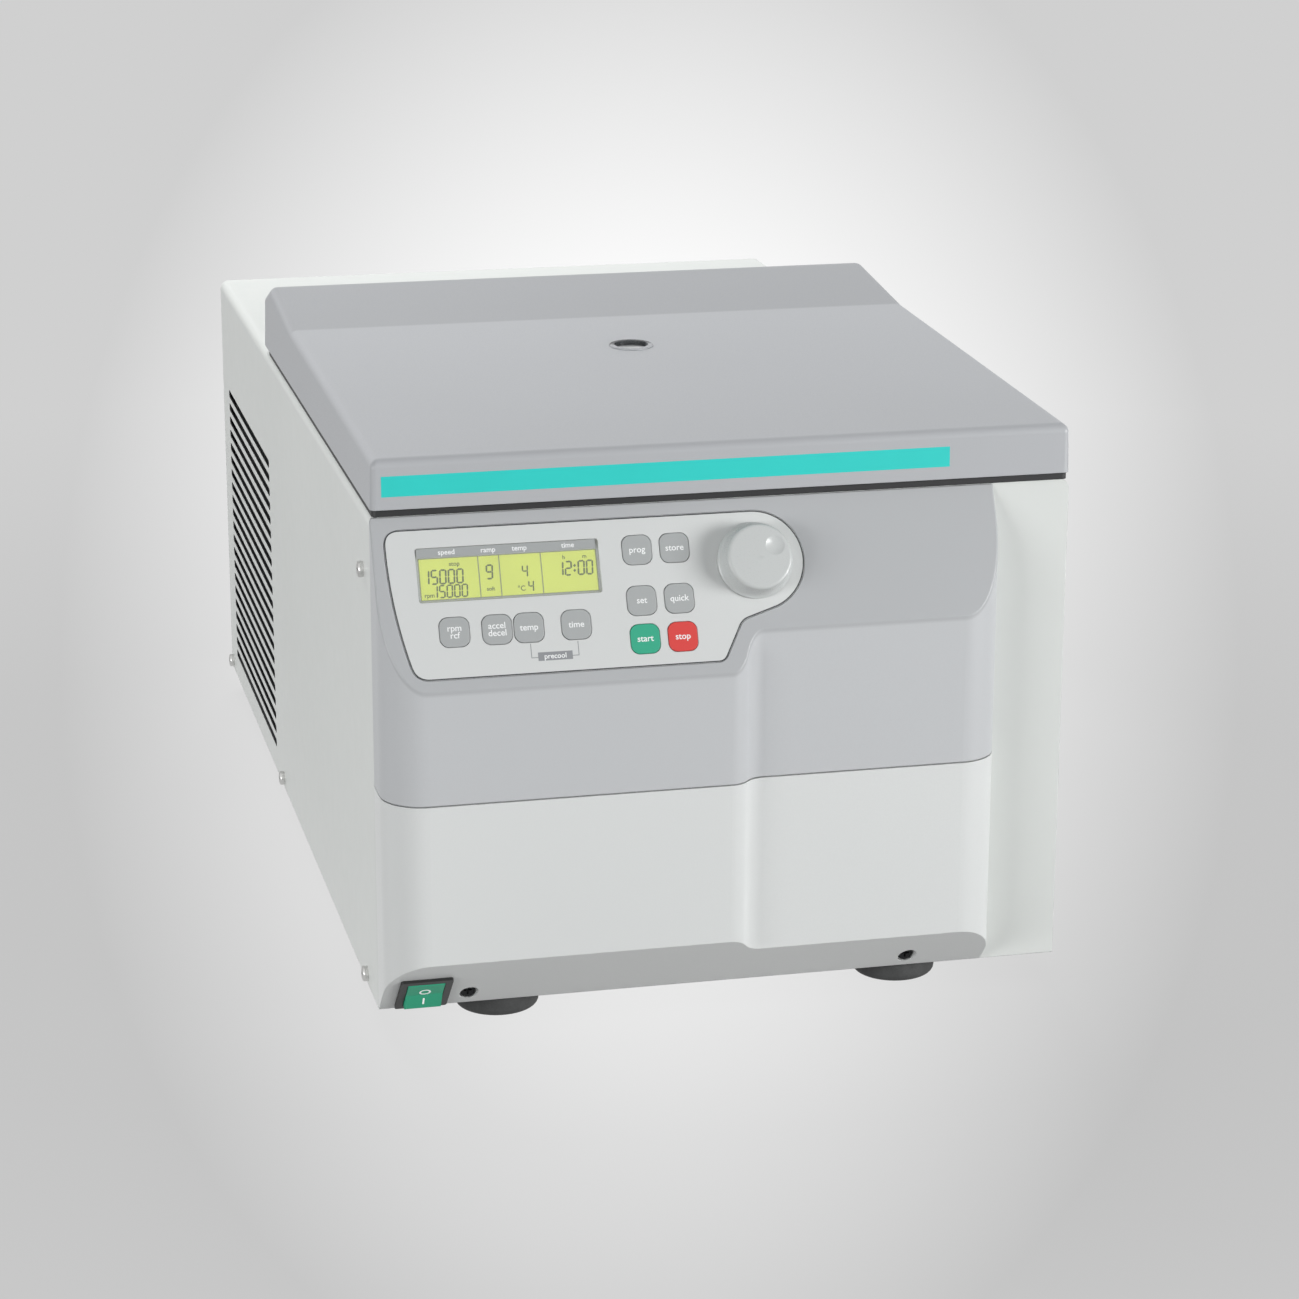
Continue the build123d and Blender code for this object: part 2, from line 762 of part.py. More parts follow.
# Rubber seal with a sloping wall, between the motor's neck and the underside of the bowl.
seal_wall = 2.5
seal_low_z = neck_top_z - 10.0
with BuildPart() as motor_seal:
    with BuildSketch(profile_plane):
        with BuildLine():
            Polyline(
                (neck_radius, seal_low_z),
                (neck_radius + seal_wall, seal_low_z),
                (neck_radius + seal_wall, seal_low_z + 6.0),
                (shaft_hole_radius + 2 * seal_wall, bowl_under_z - seal_wall),
                (seal_flange_radius, bowl_under_z - seal_wall),
                (seal_flange_radius, bowl_under_z),
                (shaft_hole_radius + seal_wall, bowl_under_z),
                (neck_radius, seal_low_z + 8.0),
                close=True,
            )
        make_face()
    revolve(axis=chamber_axis)
motor_seal.part.label = "motor_seal"
export_step(motor_seal.part, "parts/motor_seal.step")

# Drive shaft with a cone seat for the rotor and a stud for the hand nut.
rotor_z = bowl_floor_z + rotor_floor_gap
hub_height = 88.0
seat_height = 30.0
seat_small = 7.0
stud_radius = 5.0
stud_top_z = rotor_z + hub_height + nut_height - 4.0
with BuildPart() as drive_shaft:
    with BuildSketch(profile_plane):
        with BuildLine():
            Polyline(
                (0, shaft_low_z + running_gap),
                (shaft_radius, shaft_low_z + running_gap),
                (shaft_radius, rotor_z),
                (seat_small, rotor_z + seat_height),
                (seat_small, rotor_z + hub_height - 6.0),
                (stud_radius, rotor_z + hub_height - 6.0),
                (stud_radius, stud_top_z),
                (0, stud_top_z),
                close=True,
            )
        make_face()
    revolve(axis=chamber_axis)
drive_shaft.part.label = "drive_shaft"
export_step(drive_shaft.part, "parts/drive_shaft.step")

# Fixed-angle rotor, turned from one block, with six inclined tube bores.
rotor_low_radius = 85.0
rotor_low_rise = 28.0
rotor_band_top = 62.0
rim_outer = 88.0
rim_inner = 76.0
hub_radius = 27.0
dish_rise = (rim_inner - hub_radius) * tan(radians(tube_tilt))
dish_low = rotor_height - dish_rise
mouth_radius = 51.0
mouth_z = rotor_z + dish_low + (mouth_radius - hub_radius) * tan(radians(tube_tilt))
with BuildPart() as rotor:
    with BuildSketch(profile_plane):
        with BuildLine():
            Polyline(
                (shaft_radius + shaft_play, rotor_z),
                (rotor_low_radius, rotor_z),
                (rotor_radius, rotor_z + rotor_low_rise),
                (rotor_radius, rotor_z + rotor_band_top),
                (rim_outer, rotor_z + rotor_height),
                (rim_inner, rotor_z + rotor_height),
                (hub_radius, rotor_z + dish_low),
                (hub_radius - 3.0, rotor_z + hub_height),
                (seat_small + shaft_play, rotor_z + hub_height),
                (seat_small + shaft_play, rotor_z + seat_height),
                close=True,
            )
        make_face()
    revolve(axis=chamber_axis)
    for place in PolarLocations(mouth_radius, tube_count):
        out = place.position
        tilt = radians(tube_tilt)
        mouth_plane = Plane(
            origin=(out.X, chamber_y + out.Y, mouth_z),
            z_dir=(-sin(tilt) * out.X / mouth_radius, -sin(tilt) * out.Y / mouth_radius, cos(tilt)),
        )
        with BuildSketch(mouth_plane.offset(-tube_depth)):
            Circle(tube_bore / 2)
        extrude(amount=tube_depth + tube_bore, mode=Mode.SUBTRACT)
rotor.part.label = "rotor"
export_step(rotor.part, "parts/rotor.step")

# Fluted hand nut that holds the rotor down.
flute_count = 8
flute_radius = 3.2
with BuildPart() as rotor_nut:
    with BuildSketch(chamber_plane.offset(rotor_z + hub_height)):
        Circle(nut_radius)
        with PolarLocations(nut_radius + flute_radius / 3, flute_count):
            Circle(flute_radius, mode=Mode.SUBTRACT)
        Circle(stud_radius + shaft_play, mode=Mode.SUBTRACT)
    extrude(amount=nut_height)
    chamfer(rotor_nut.faces().sort_by(Axis.Z)[-1].outer_wire().edges(), 1.0)
rotor_nut.part.label = "rotor_nut"
export_step(rotor_nut.part, "parts/rotor_nut.step")

# Key names with their place across and down the console face.
key_spots = {
    "key_lid": (41.2, 65.4),
    "key_ramp": (64.7, 65.4),
    "key_temperature": (82.35, 65.4),
    "key_time": (108.7, 65.4),
    "key_program": (146.4, 26.1),
    "key_save": (167.6, 26.1),
    "key_select": (146.4, 54.4),
    "key_short_run": (167.6, 54.4),
    "key_start": (146.4, 75.7),
    "key_stop": (167.6, 75.7),
}
key_places = [(across, -down) for across, down in key_spots.values()]
window_width = window_right - window_left
window_tall = window_down - window_up
window_middle = ((window_left + window_right) / 2, -(window_up + window_down) / 2)
opening_tall = window_down - display_ledge - display_up
opening_middle = (window_middle[0], -(display_up + window_down - display_ledge) / 2)
recess_plane = console_plane.offset(-membrane_recess)
inner_plane = console_plane.offset(-fascia_wall)
board_plane = console_plane.offset(-board_depth)
standoff_radius = 3.0
standoff_inset = 3.8
standoff_spots = [
    (board_left + standoff_inset, -board_up - standoff_inset),
    (board_right - standoff_inset, -board_up - standoff_inset),
    (board_left + standoff_inset, -board_down + standoff_inset),
    (board_step - standoff_inset, -board_down + standoff_inset),
]

# Upper fascia, a stepped shell cut by the leaning console face.
upper_low_z = seam_z + seam_gap / 2
with BuildPart() as upper_fascia:
    with BuildSketch(Plane.XY.offset(upper_low_z)):
        add(fascia_outline(0))
    extrude(amount=console_z - upper_low_z)
    split(bisect_by=console_plane, keep=Keep.BOTTOM)
    console_face = upper_fascia.faces().sort_by(Axis(console_plane.origin, console_plane.z_dir))[-1]
    rim = console_face.outer_wire().edges().filter_by(lambda e: e.center().Z < console_z - 1)
    fillet(rim, edge_round)
    with BuildSketch(Plane.XY.offset(upper_low_z), mode=Mode.PRIVATE) as hollow_outline:
        add(fascia_outline(fascia_wall))
    hollow = extrude(hollow_outline.sketch, amount=console_z - upper_low_z, mode=Mode.PRIVATE)
    hollow = split(hollow, bisect_by=inner_plane, keep=Keep.BOTTOM, mode=Mode.PRIVATE)
    add(hollow, mode=Mode.SUBTRACT)
    # Bosses behind the console face for the control board.
    with BuildSketch(inner_plane):
        with Locations(*standoff_spots):
            Circle(standoff_radius)
    extrude(amount=fascia_wall - board_depth)
    # Recess for the membrane, then openings for keys, display and knob bushing.
    with BuildSketch(console_plane):
        add(membrane_outline(fit_gap))
    extrude(amount=-membrane_recess, mode=Mode.SUBTRACT)
    with BuildSketch(console_plane):
        with Locations(*key_places):
            RectangleRounded(
                key_size + 2 * key_clearance, key_size + 2 * key_clearance, key_corner
            )
        with Locations(opening_middle):
            Rectangle(window_width - 2 * display_ledge, opening_tall)
        with Locations((knob_across, -knob_down)):
            Circle(bushing_diameter / 2 + panel_gap)
    extrude(amount=-2 * fascia_wall, mode=Mode.SUBTRACT)
upper_fascia.part.label = "upper_fascia"
export_step(upper_fascia.part, "parts/upper_fascia.step")

# Lower fascia, cut by the undercut foot, with a tongue at the seam and two screw wells.
lower_top_z = seam_z - seam_gap / 2
tongue_wall = 1.6
tongue_height = 5.0
tongue_inset = fascia_wall + 0.2
well_wall = 2.0
switch_middle = (switch_left + switch_width / 2, switch_low + switch_tall / 2)
switch_hole_width = switch_width - 4.0
switch_hole_tall = switch_tall - 4.0
undercut_inner = undercut_plane.offset(-fascia_wall)
with BuildPart() as lower_fascia:
    with BuildSketch(Plane.XY.offset(base_z)):
        add(fascia_outline(0))
    extrude(amount=lower_top_z - base_z)
    split(bisect_by=undercut_plane, keep=Keep.BOTTOM)
    with BuildSketch(Plane.XY.offset(base_z), mode=Mode.PRIVATE) as hollow_outline:
        add(fascia_outline(fascia_wall))
    hollow = extrude(hollow_outline.sketch, amount=lower_top_z - base_z, mode=Mode.PRIVATE)
    hollow = split(hollow, bisect_by=undercut_inner, keep=Keep.BOTTOM, mode=Mode.PRIVATE)
    add(hollow, mode=Mode.SUBTRACT)
    with BuildSketch(Plane.XY.offset(lower_top_z - tongue_height)):
        add(fascia_outline(fascia_wall - 0.5))
        add(fascia_outline(tongue_inset + tongue_wall), mode=Mode.SUBTRACT)
    extrude(amount=tongue_height)
    with BuildSketch(Plane.XY.offset(lower_top_z)):
        add(fascia_outline(tongue_inset))
        add(fascia_outline(tongue_inset + tongue_wall), mode=Mode.SUBTRACT)
    extrude(amount=tongue_height)
    # Screw wells, open at the undercut and closed by a floor on the cover.
    for place in fascia_screw_planes:
        with BuildSketch(place.offset(-access_floor), mode=Mode.PRIVATE) as well_outline:
            Circle(access_hole / 2 + well_wall)
        well = extrude(well_outline.sketch, amount=fascia_reach, mode=Mode.PRIVATE)
        well = split(well, bisect_by=undercut_plane, keep=Keep.BOTTOM, mode=Mode.PRIVATE)
        add(well)
        with BuildSketch(place):
            Circle(access_hole / 2)
        extrude(amount=fascia_reach, mode=Mode.SUBTRACT)
        with BuildSketch(place):
            Circle(screw_shank / 2 + panel_gap)
        extrude(amount=-access_floor, mode=Mode.SUBTRACT)
    with BuildSketch(undercut_plane):
        with Locations(switch_middle):
            RectangleRounded(switch_hole_width, switch_hole_tall, 1.0)
    extrude(amount=-2 * fascia_wall, mode=Mode.SUBTRACT)
lower_fascia.part.label = "lower_fascia"
export_step(lower_fascia.part, "parts/lower_fascia.step")

# Control membrane in its recess, open at the keys, the window and the knob.
with BuildPart() as control_membrane:
    with BuildSketch(recess_plane):
        add(membrane_outline(0))
        with Locations(*key_places):
            RectangleRounded(
                key_size + 2 * key_clearance,
                key_size + 2 * key_clearance,
                key_corner,
                mode=Mode.SUBTRACT,
            )
        with Locations(window_middle):
            RectangleRounded(
                window_width + 2 * panel_gap,
                window_tall + 2 * panel_gap,
                1.5,
                mode=Mode.SUBTRACT,
            )
        with Locations((knob_across, -knob_down)):
            Circle(bushing_diameter / 2 + panel_gap, mode=Mode.SUBTRACT)
    extrude(amount=membrane_thick)
control_membrane.part.label = "control_membrane"
export_step(control_membrane.part, "parts/control_membrane.step")

# Clear window on the ledge of the display opening.
with BuildPart() as display_window:
    with BuildSketch(recess_plane):
        with Locations(window_middle):
            RectangleRounded(window_width, window_tall, 1.5)
    extrude(amount=membrane_thick)
display_window.part.label = "display_window"
export_step(display_window.part, "parts/display_window.step")

# Display module, a raised glass on a wider holder that stands on the board.
holder_margin = 3.0
with BuildPart() as display_module:
    with BuildSketch(recess_plane.offset(-panel_gap)):
        with Locations(opening_middle):
            Rectangle(window_width - 2 * display_ledge - 0.4, opening_tall - 0.4)
    extrude(amount=-fascia_wall)
    with BuildSketch(inner_plane):
        with Locations(opening_middle):
            Rectangle(window_width + holder_margin, opening_tall + holder_margin)
    extrude(amount=fascia_wall - board_depth)
display_module.part.label = "display_module"
export_step(display_module.part, "parts/display_module.step")

# Control board with a small switch under each key.
switch_body = 6.0
key_back = fascia_wall + key_flange
plunger_top = -key_back - key_travel - panel_gap
with BuildPart() as control_board:
    with BuildSketch(board_plane):
        with BuildLine():
            Polyline(
                (board_left, -board_up),
                (board_right, -board_up),
                (board_right, -board_step_down),
                (board_step, -board_step_down),
                (board_step, -board_down),
                (board_left, -board_down),
                close=True,
            )
        make_face()
    extrude(amount=-board_thick)
    with BuildSketch(board_plane):
        with Locations(*key_places):
            Rectangle(switch_body, switch_body)
    extrude(amount=board_depth + plunger_top - 1.0)
    with BuildSketch(board_plane):
        with Locations(*key_places):
            Circle(1.6)
    extrude(amount=board_depth + plunger_top)
control_board.part.label = "control_board"
export_step(control_board.part, "parts/control_board.step")

# Encoder with a threaded bushing through the console face.
bushing_tip = 0.2
with BuildPart() as encoder_body:
    with BuildSketch(board_plane):
        with Locations((knob_across, -knob_down)):
            Rectangle(encoder_size, encoder_size)
    extrude(amount=board_depth - fascia_wall)
    with BuildSketch(board_plane):
        with Locations((knob_across, -knob_down)):
            Circle(bushing_diameter / 2)
    extrude(amount=board_depth + bushing_tip)
    with BuildSketch(board_plane.offset(1.0)):
        with Locations((knob_across, -knob_down)):
            Circle(encoder_shaft_diameter / 2 + shaft_play)
    extrude(amount=board_depth + 1.0, mode=Mode.SUBTRACT)
encoder_body.part.label = "encoder_body"
export_step(encoder_body.part, "parts/encoder_body.step")

# Encoder shaft with a flat for the knob.
shaft_flat = 1.2
shaft_reach = knob_height - 4.0
knob_bore_low = membrane_thick - membrane_recess + fit_gap
with BuildPart() as encoder_shaft:
    with BuildSketch(board_plane.offset(1.0 + running_gap)):
        with Locations((knob_across, -knob_down)):
            Circle(encoder_shaft_diameter / 2)
    extrude(amount=board_depth - 1.0 - running_gap + knob_bore_low)
    with BuildSketch(console_plane.offset(knob_bore_low)):
        with Locations((knob_across, -knob_down)):
            Circle(encoder_shaft_diameter / 2)
        with Locations((knob_across, -knob_down + encoder_shaft_diameter - shaft_flat)):
            Rectangle(encoder_shaft_diameter, encoder_shaft_diameter, mode=Mode.SUBTRACT)
    extrude(amount=shaft_reach)
encoder_shaft.part.label = "encoder_shaft"
export_step(encoder_shaft.part, "parts/encoder_shaft.step")

# Turn knob with a flared skirt, a domed face and a finger dimple.
knob_plane = Plane(
    origin=console_plane.from_local_coords(Vector(knob_across, -knob_down, knob_bore_low)),
    x_dir=(1, 0, 0),
    z_dir=console_plane.z_dir,
)
knob_axis = Axis(knob_plane.origin, knob_plane.z_dir)
knob_section = Plane(
    origin=knob_plane.origin, x_dir=(1, 0, 0), z_dir=knob_plane.z_dir.cross(Vector(1, 0, 0)) * -1
)
dimple_radius = 12.0
dimple_depth = 1.6
dimple_offset = (9.2, 5.8)
with BuildPart() as control_knob:
    with BuildSketch(knob_section):
        with BuildLine():
            skirt = knob_diameter / 2
            face = knob_face / 2
            Polyline((0, knob_height), (0, 0), (skirt, 0), (skirt, 1.6))
            Spline(
                [(skirt, 1.6), (face + 1.2, 4.6), (face + 0.3, knob_height - 2.5)],
                tangents=[(-1, 0.55), (-0.06, 1)],
            )
            Spline(
                [(face + 0.3, knob_height - 2.5), (face - 1.8, knob_height - 0.4)],
                tangents=[(-0.06, 1), (-1, 0.12)],
            )
            Line((face - 1.8, knob_height - 0.4), (0, knob_height))
        make_face()
    revolve(axis=knob_axis)
    dimple_middle = knob_plane.from_local_coords(
        Vector(*dimple_offset, knob_height + dimple_radius - dimple_depth)
    )
    with Locations(dimple_middle):
        Sphere(dimple_radius, mode=Mode.SUBTRACT)
    # Bore that seats on the shaft and its flat, and a relief over the bushing.
    with BuildSketch(knob_plane):
        Circle(encoder_shaft_diameter / 2 + shaft_play)
        with Locations((0, encoder_shaft_diameter - shaft_flat + 2 * shaft_play)):
            Rectangle(encoder_shaft_diameter, encoder_shaft_diameter, mode=Mode.SUBTRACT)
    extrude(amount=shaft_reach + running_gap, mode=Mode.SUBTRACT)
control_knob.part.label = "control_knob"
export_step(control_knob.part, "parts/control_knob.step")

# Ten keys, each a rounded square with a tab above and below, held behind the fascia.
for key_name, (across, down) in key_spots.items():
    with BuildPart() as key:
        with BuildSketch(inner_plane):
            with Locations((across, -down)):
                Rectangle(key_size - 2.0, key_size + 2 * key_tab)
        extrude(amount=-key_flange)
        with BuildSketch(inner_plane):
            with Locations((across, -down)):
                RectangleRounded(key_size, key_size, key_corner)
        extrude(amount=fascia_wall - membrane_recess + membrane_thick + key_rise)
        top_face = key.faces().sort_by(Axis(console_plane.origin, console_plane.z_dir))[-1]
        fillet(top_face.edges(), 0.4)
    key.part.label = key_name
    export_step(key.part, f"parts/{key_name}.step")

# Mains switch, a frame on the undercut with the rocker between its walls.
rocker_width = switch_width - 2 * switch_rim
rocker_tall = switch_tall - 2 * switch_rim
well_depth = 12.0
pivot_radius = 1.5
terminal_spacing = 12.0
terminal_width = 6.3
terminal_thick = 0.8
terminal_reach = 7.0
rocker_plane = Plane(
    origin=undercut_plane.from_local_coords(Vector(*switch_middle, -rocker_pivot_depth)),
    x_dir=undercut_plane.y_dir,
    z_dir=(1, 0, 0),
)
with BuildPart() as switch_frame:
    with BuildSketch(undercut_plane):
        with Locations(switch_middle):
            RectangleRounded(switch_width, switch_tall, 1.5)
    extrude(amount=rim_height)
    with BuildSketch(undercut_plane):
        with Locations(switch_middle):
            RectangleRounded(switch_hole_width - 0.4, switch_hole_tall - 0.4, 1.0)
    extrude(amount=-switch_body_depth)
    with BuildSketch(undercut_plane.offset(rim_height)):
        with Locations(switch_middle):
            Rectangle(rocker_width + 2 * rocker_gap, rocker_tall + 2 * rocker_gap)
    extrude(amount=-rim_height - well_depth, mode=Mode.SUBTRACT)
    with BuildSketch(rocker_plane):
        Circle(pivot_radius + shaft_play)
    extrude(amount=switch_width, both=True, mode=Mode.SUBTRACT)
    with BuildSketch(undercut_plane.offset(-switch_body_depth)):
        with Locations(switch_middle):
            with GridLocations(terminal_spacing, terminal_spacing, 2, 2):
                Rectangle(terminal_width, terminal_thick)
    extrude(amount=-terminal_reach)
switch_frame.part.label = "switch_frame"
export_step(switch_frame.part, "parts/switch_frame.step")

# Mains rocker on two pins, its off end pressed level and its on end standing out.
rocker_half = rocker_tall / 2 - rocker_play / 2
rocker_face = rocker_pivot_depth + rim_height + 0.2
rocker_tip = rocker_face + rocker_half * tan(radians(rocker_swing / 2))
pin_reach = 1.4
rocker_rest_plane = Plane(
    origin=rocker_plane.origin,
    x_dir=undercut_plane.y_dir.rotate(Axis.X, -rocker_swing / 2),
    z_dir=(1, 0, 0),
)
with BuildPart() as switch_rocker:
    with BuildSketch(rocker_rest_plane) as rocker_side:
        with BuildLine():
            Polyline(
                (-rocker_half, rocker_tip),
                (0, rocker_face),
                (rocker_half, rocker_tip),
                (rocker_half - 0.6, 0.5),
                (5.0, -5.0),
                (-5.0, -5.0),
                (0.6 - rocker_half, 0.5),
                close=True,
            )
        make_face()
        fillet(rocker_side.vertices().group_by(Axis.Y)[-1], 1.0)
    extrude(amount=rocker_width / 2, both=True)
    with BuildSketch(rocker_plane):
        Circle(pivot_radius)
    extrude(amount=rocker_width / 2 + rocker_gap + pin_reach, both=True)
switch_rocker.part.label = "switch_rocker"
export_step(switch_rocker.part, "parts/switch_rocker.step")

# Hermetic compressor, a domed can with a welded seam on a four-cornered base plate.
base_plate_thick = 4.0
can_round = 32.0
seam_band = 3.0
compressor_low = compressor_plane.offset(base_plate_thick)
with BuildPart() as compressor:
    with BuildSketch(compressor_low):
        Circle(compressor_radius)
    extrude(amount=compressor_height)
    fillet(compressor.edges().filter_by(GeomType.CIRCLE), can_round)
    with BuildSketch(compressor_plane):
        RectangleRounded(
            compressor_spacing + mount_diameter, compressor_spacing + mount_diameter, 14.0
        )
    extrude(amount=base_plate_thick)
    with BuildSketch(compressor_low.offset(compressor_height * 0.55)):
        Circle(compressor_radius + seam_band)
    extrude(amount=2 * seam_band)
compressor.part.label = "compressor"
export_step(compressor.part, "parts/compressor.step")

# Finned condenser behind the left louvres, its end plates standing on the pan.
condenser_x = left_x + condenser_inset + condenser_width / 2
condenser_y = front_y + condenser_front + condenser_length / 2
condenser_z = base_z + condenser_low
condenser_top_z = condenser_z + condenser_height
end_plate = 2.0
tube_rows = 6
condenser_tube = 8.0
fin_pitch_y = (condenser_length - 2 * end_plate) / (condenser_fins + 1)
with BuildPart() as condenser:
    with BuildSketch(Plane.XY.offset(condenser_z)):
        with Locations((condenser_x, condenser_y)):
            with GridLocations(0, fin_pitch_y, 1, condenser_fins):
                Rectangle(condenser_width, fin_thick)
    extrude(amount=condenser_height)
    with BuildSketch(Plane.XY.offset(pan_top)):
        with Locations((condenser_x, condenser_y)):
            with GridLocations(0, condenser_length - end_plate, 1, 2):
                Rectangle(condenser_width, end_plate)
    extrude(amount=condenser_top_z - pan_top)
    with BuildSketch(Plane.XZ.offset(-condenser_y)):
        with Locations((condenser_x, condenser_z + condenser_height / 2)):
            with GridLocations(0, condenser_height / tube_rows, 1, tube_rows):
                Circle(condenser_tube / 2)
    extrude(amount=condenser_length / 2, both=True)
condenser.part.label = "condenser"
export_step(condenser.part, "parts/condenser.step")

# Fan shroud, a plate on the condenser's inner side with a round duct.
shroud_plate = 2.0
shroud_depth = 25.0
duct_radius = fan_radius + 2.0
shroud_x = condenser_x + condenser_width / 2
fan_z = condenser_z + condenser_height / 2
fan_plane = Plane(origin=(shroud_x, condenser_y, fan_z), x_dir=(0, 1, 0), z_dir=(1, 0, 0))
shroud_foot = 14.0
with BuildPart() as fan_shroud:
    with BuildSketch(Plane.YZ.offset(shroud_x)):
        with Locations((condenser_y, (pan_top + condenser_top_z) / 2)):
            Rectangle(condenser_length, condenser_top_z - pan_top)
    extrude(amount=shroud_plate)
    with BuildSketch(Plane.XY.offset(pan_top)):
        with Locations((shroud_x + shroud_foot / 2, condenser_y)):
            Rectangle(shroud_foot, condenser_length)
    extrude(amount=shroud_plate)
    with BuildSketch(fan_plane):
        Circle(duct_radius + shroud_plate)
    extrude(amount=shroud_depth)
    with BuildSketch(fan_plane):
        Circle(duct_radius)
    extrude(amount=shroud_depth, mode=Mode.SUBTRACT)
fan_shroud.part.label = "fan_shroud"
export_step(fan_shroud.part, "parts/fan_shroud.step")

# Fan motor on a three-armed bracket across the duct's rim, its shaft toward the condenser.
fan_shaft = 4.0
fan_start = 5.0
arm_width = 12.0
arm_thick = 3.0
fan_motor_radius = 26.0
fan_motor_length = 40.0
with BuildPart() as fan_motor:
    with BuildSketch(fan_plane.offset(shroud_depth)):
        Circle(fan_motor_radius)
        with PolarLocations(0, 3, start_angle=90):
            with Locations((duct_radius / 2, 0)):
                Rectangle(duct_radius + 2 * shroud_plate, arm_width)
    extrude(amount=arm_thick)
    with BuildSketch(fan_plane.offset(shroud_depth + arm_thick)):
        Circle(fan_motor_radius)
    extrude(amount=fan_motor_length)
    with BuildSketch(fan_plane.offset(fan_start)):
        Circle(fan_shaft)
    extrude(amount=shroud_depth - fan_start)
fan_motor.part.label = "fan_motor"
export_step(fan_motor.part, "parts/fan_motor.step")

# Condenser fan with pitched blades on a round hub.
blade_chord = 34.0
blade_thick = 2.0
blade_pitch = 30.0
with BuildPart() as condenser_fan:
    with BuildSketch(fan_plane.offset(fan_start)):
        Circle(fan_hub)
    extrude(amount=fan_depth)
    for turn in range(fan_blades):
        angle = radians(360.0 / fan_blades * turn)
        outward = Vector(0, cos(angle), sin(angle))
        blade_plane = Plane(
            origin=fan_plane.origin + Vector(fan_start + fan_depth / 2, 0, 0) + outward * fan_hub / 2,
            x_dir=outward.cross(Vector(1, 0, 0)),
            z_dir=outward,
        )
        with BuildSketch(blade_plane):
            Rectangle(blade_chord, blade_thick, rotation=blade_pitch)
        extrude(amount=fan_radius - fan_hub / 2 - 2.0)
    with BuildSketch(fan_plane):
        Circle(fan_shaft + shaft_play)
    extrude(amount=shroud_depth, mode=Mode.SUBTRACT)
condenser_fan.part.label = "condenser_fan"
export_step(condenser_fan.part, "parts/condenser_fan.step")

# Copper lines: condenser to coil, coil to compressor, and compressor to condenser.
pipe_bend = 12.0
pipe_clear = 17.0
suction_offset = 15.0
discharge_rise = 32.0
solder_gap = 0.15
header_y = condenser_y - condenser_length / 2
row_rise = condenser_height / tube_rows * (tube_rows - 1) / 2
compressor_y = front_y + compressor_back
can_top_z = mount_top_z + base_plate_thick + compressor_height
with BuildPart() as refrigerant_pipes:
    for corners in (
        [
            (-coil_radius, chamber_y + solder_gap, coil_top_z),
            (-coil_radius, header_y - pipe_clear, coil_top_z),
            (-coil_radius, header_y - pipe_clear, fan_z - row_rise),
            (condenser_x, header_y - pipe_clear, fan_z - row_rise),
            (condenser_x, header_y, fan_z - row_rise),
        ],
        [
            (coil_radius, chamber_y + solder_gap, coil_low_z),
            (coil_radius, header_y - pipe_clear, coil_low_z),
            (coil_radius, header_y - pipe_clear, coil_top_z),
            (coil_radius, compressor_y, coil_top_z),
            (compressor_across + suction_offset, compressor_y, coil_top_z),
            (compressor_across + suction_offset, compressor_y, can_top_z),
        ],
        [
            (compressor_across - suction_offset, compressor_y, can_top_z),
            (compressor_across - suction_offset, compressor_y, can_top_z + discharge_rise),
            (condenser_x, compressor_y, can_top_z + discharge_rise),
            (condenser_x, header_y - pipe_clear, can_top_z + discharge_rise),
            (condenser_x, header_y - pipe_clear, fan_z + row_rise),
            (condenser_x, header_y, fan_z + row_rise),
        ],
    ):
        with BuildLine() as route:
            FilletPolyline(*corners, radius=pipe_bend)
        with BuildSketch(Plane(origin=route.wire() @ 0, z_dir=route.wire() % 0)):
            Circle(coil_tube / 2)
        sweep()
refrigerant_pipes.part.label = "refrigerant_pipes"
export_step(refrigerant_pipes.part, "parts/refrigerant_pipes.step")

# Lid levels and places.
lid_front_y = front_y - lid_overhang
lid_rear_y = front_y + lid_depth
lid_middle_y = (lid_front_y + lid_rear_y) / 2
front_top_z = lid_z + lid_front_height
crease_z = front_top_z + (lid_crease + lid_overhang) * tan(radians(lid_slope))
peak_z = crease_z + lid_ramp_rise
liner_z = lid_z + liner_rise
stiffener_z = liner_z + liner_thick
stiffener_top_z = stiffener_z + stiffener_thick
port_rise = (port_back + lid_overhang) * tan(radians(lid_slope))
port_plane = Plane(
    origin=(0, front_y + port_back, front_top_z + port_rise),
    x_dir=(1, 0, 0),
    z_dir=(0, -sin(radians(lid_slope)), cos(radians(lid_slope))),
)
hinge_xs = (-hinge_spread / 2, hinge_spread / 2)
hinge_y = front_y + hinge_back
hinge_z = deck_z + hinge_rise
hinge_centre = 24.0
strap_z = stiffener_z - hinge_leaf
boss_inset = 35.0
boss_radius = 5.0
boss_spots = [
    (side * (cabinet_width / 2 - boss_inset), front_y + back)
    for side in (-1, 1)
    for back in (30.0, 220.0, 400.0)
]


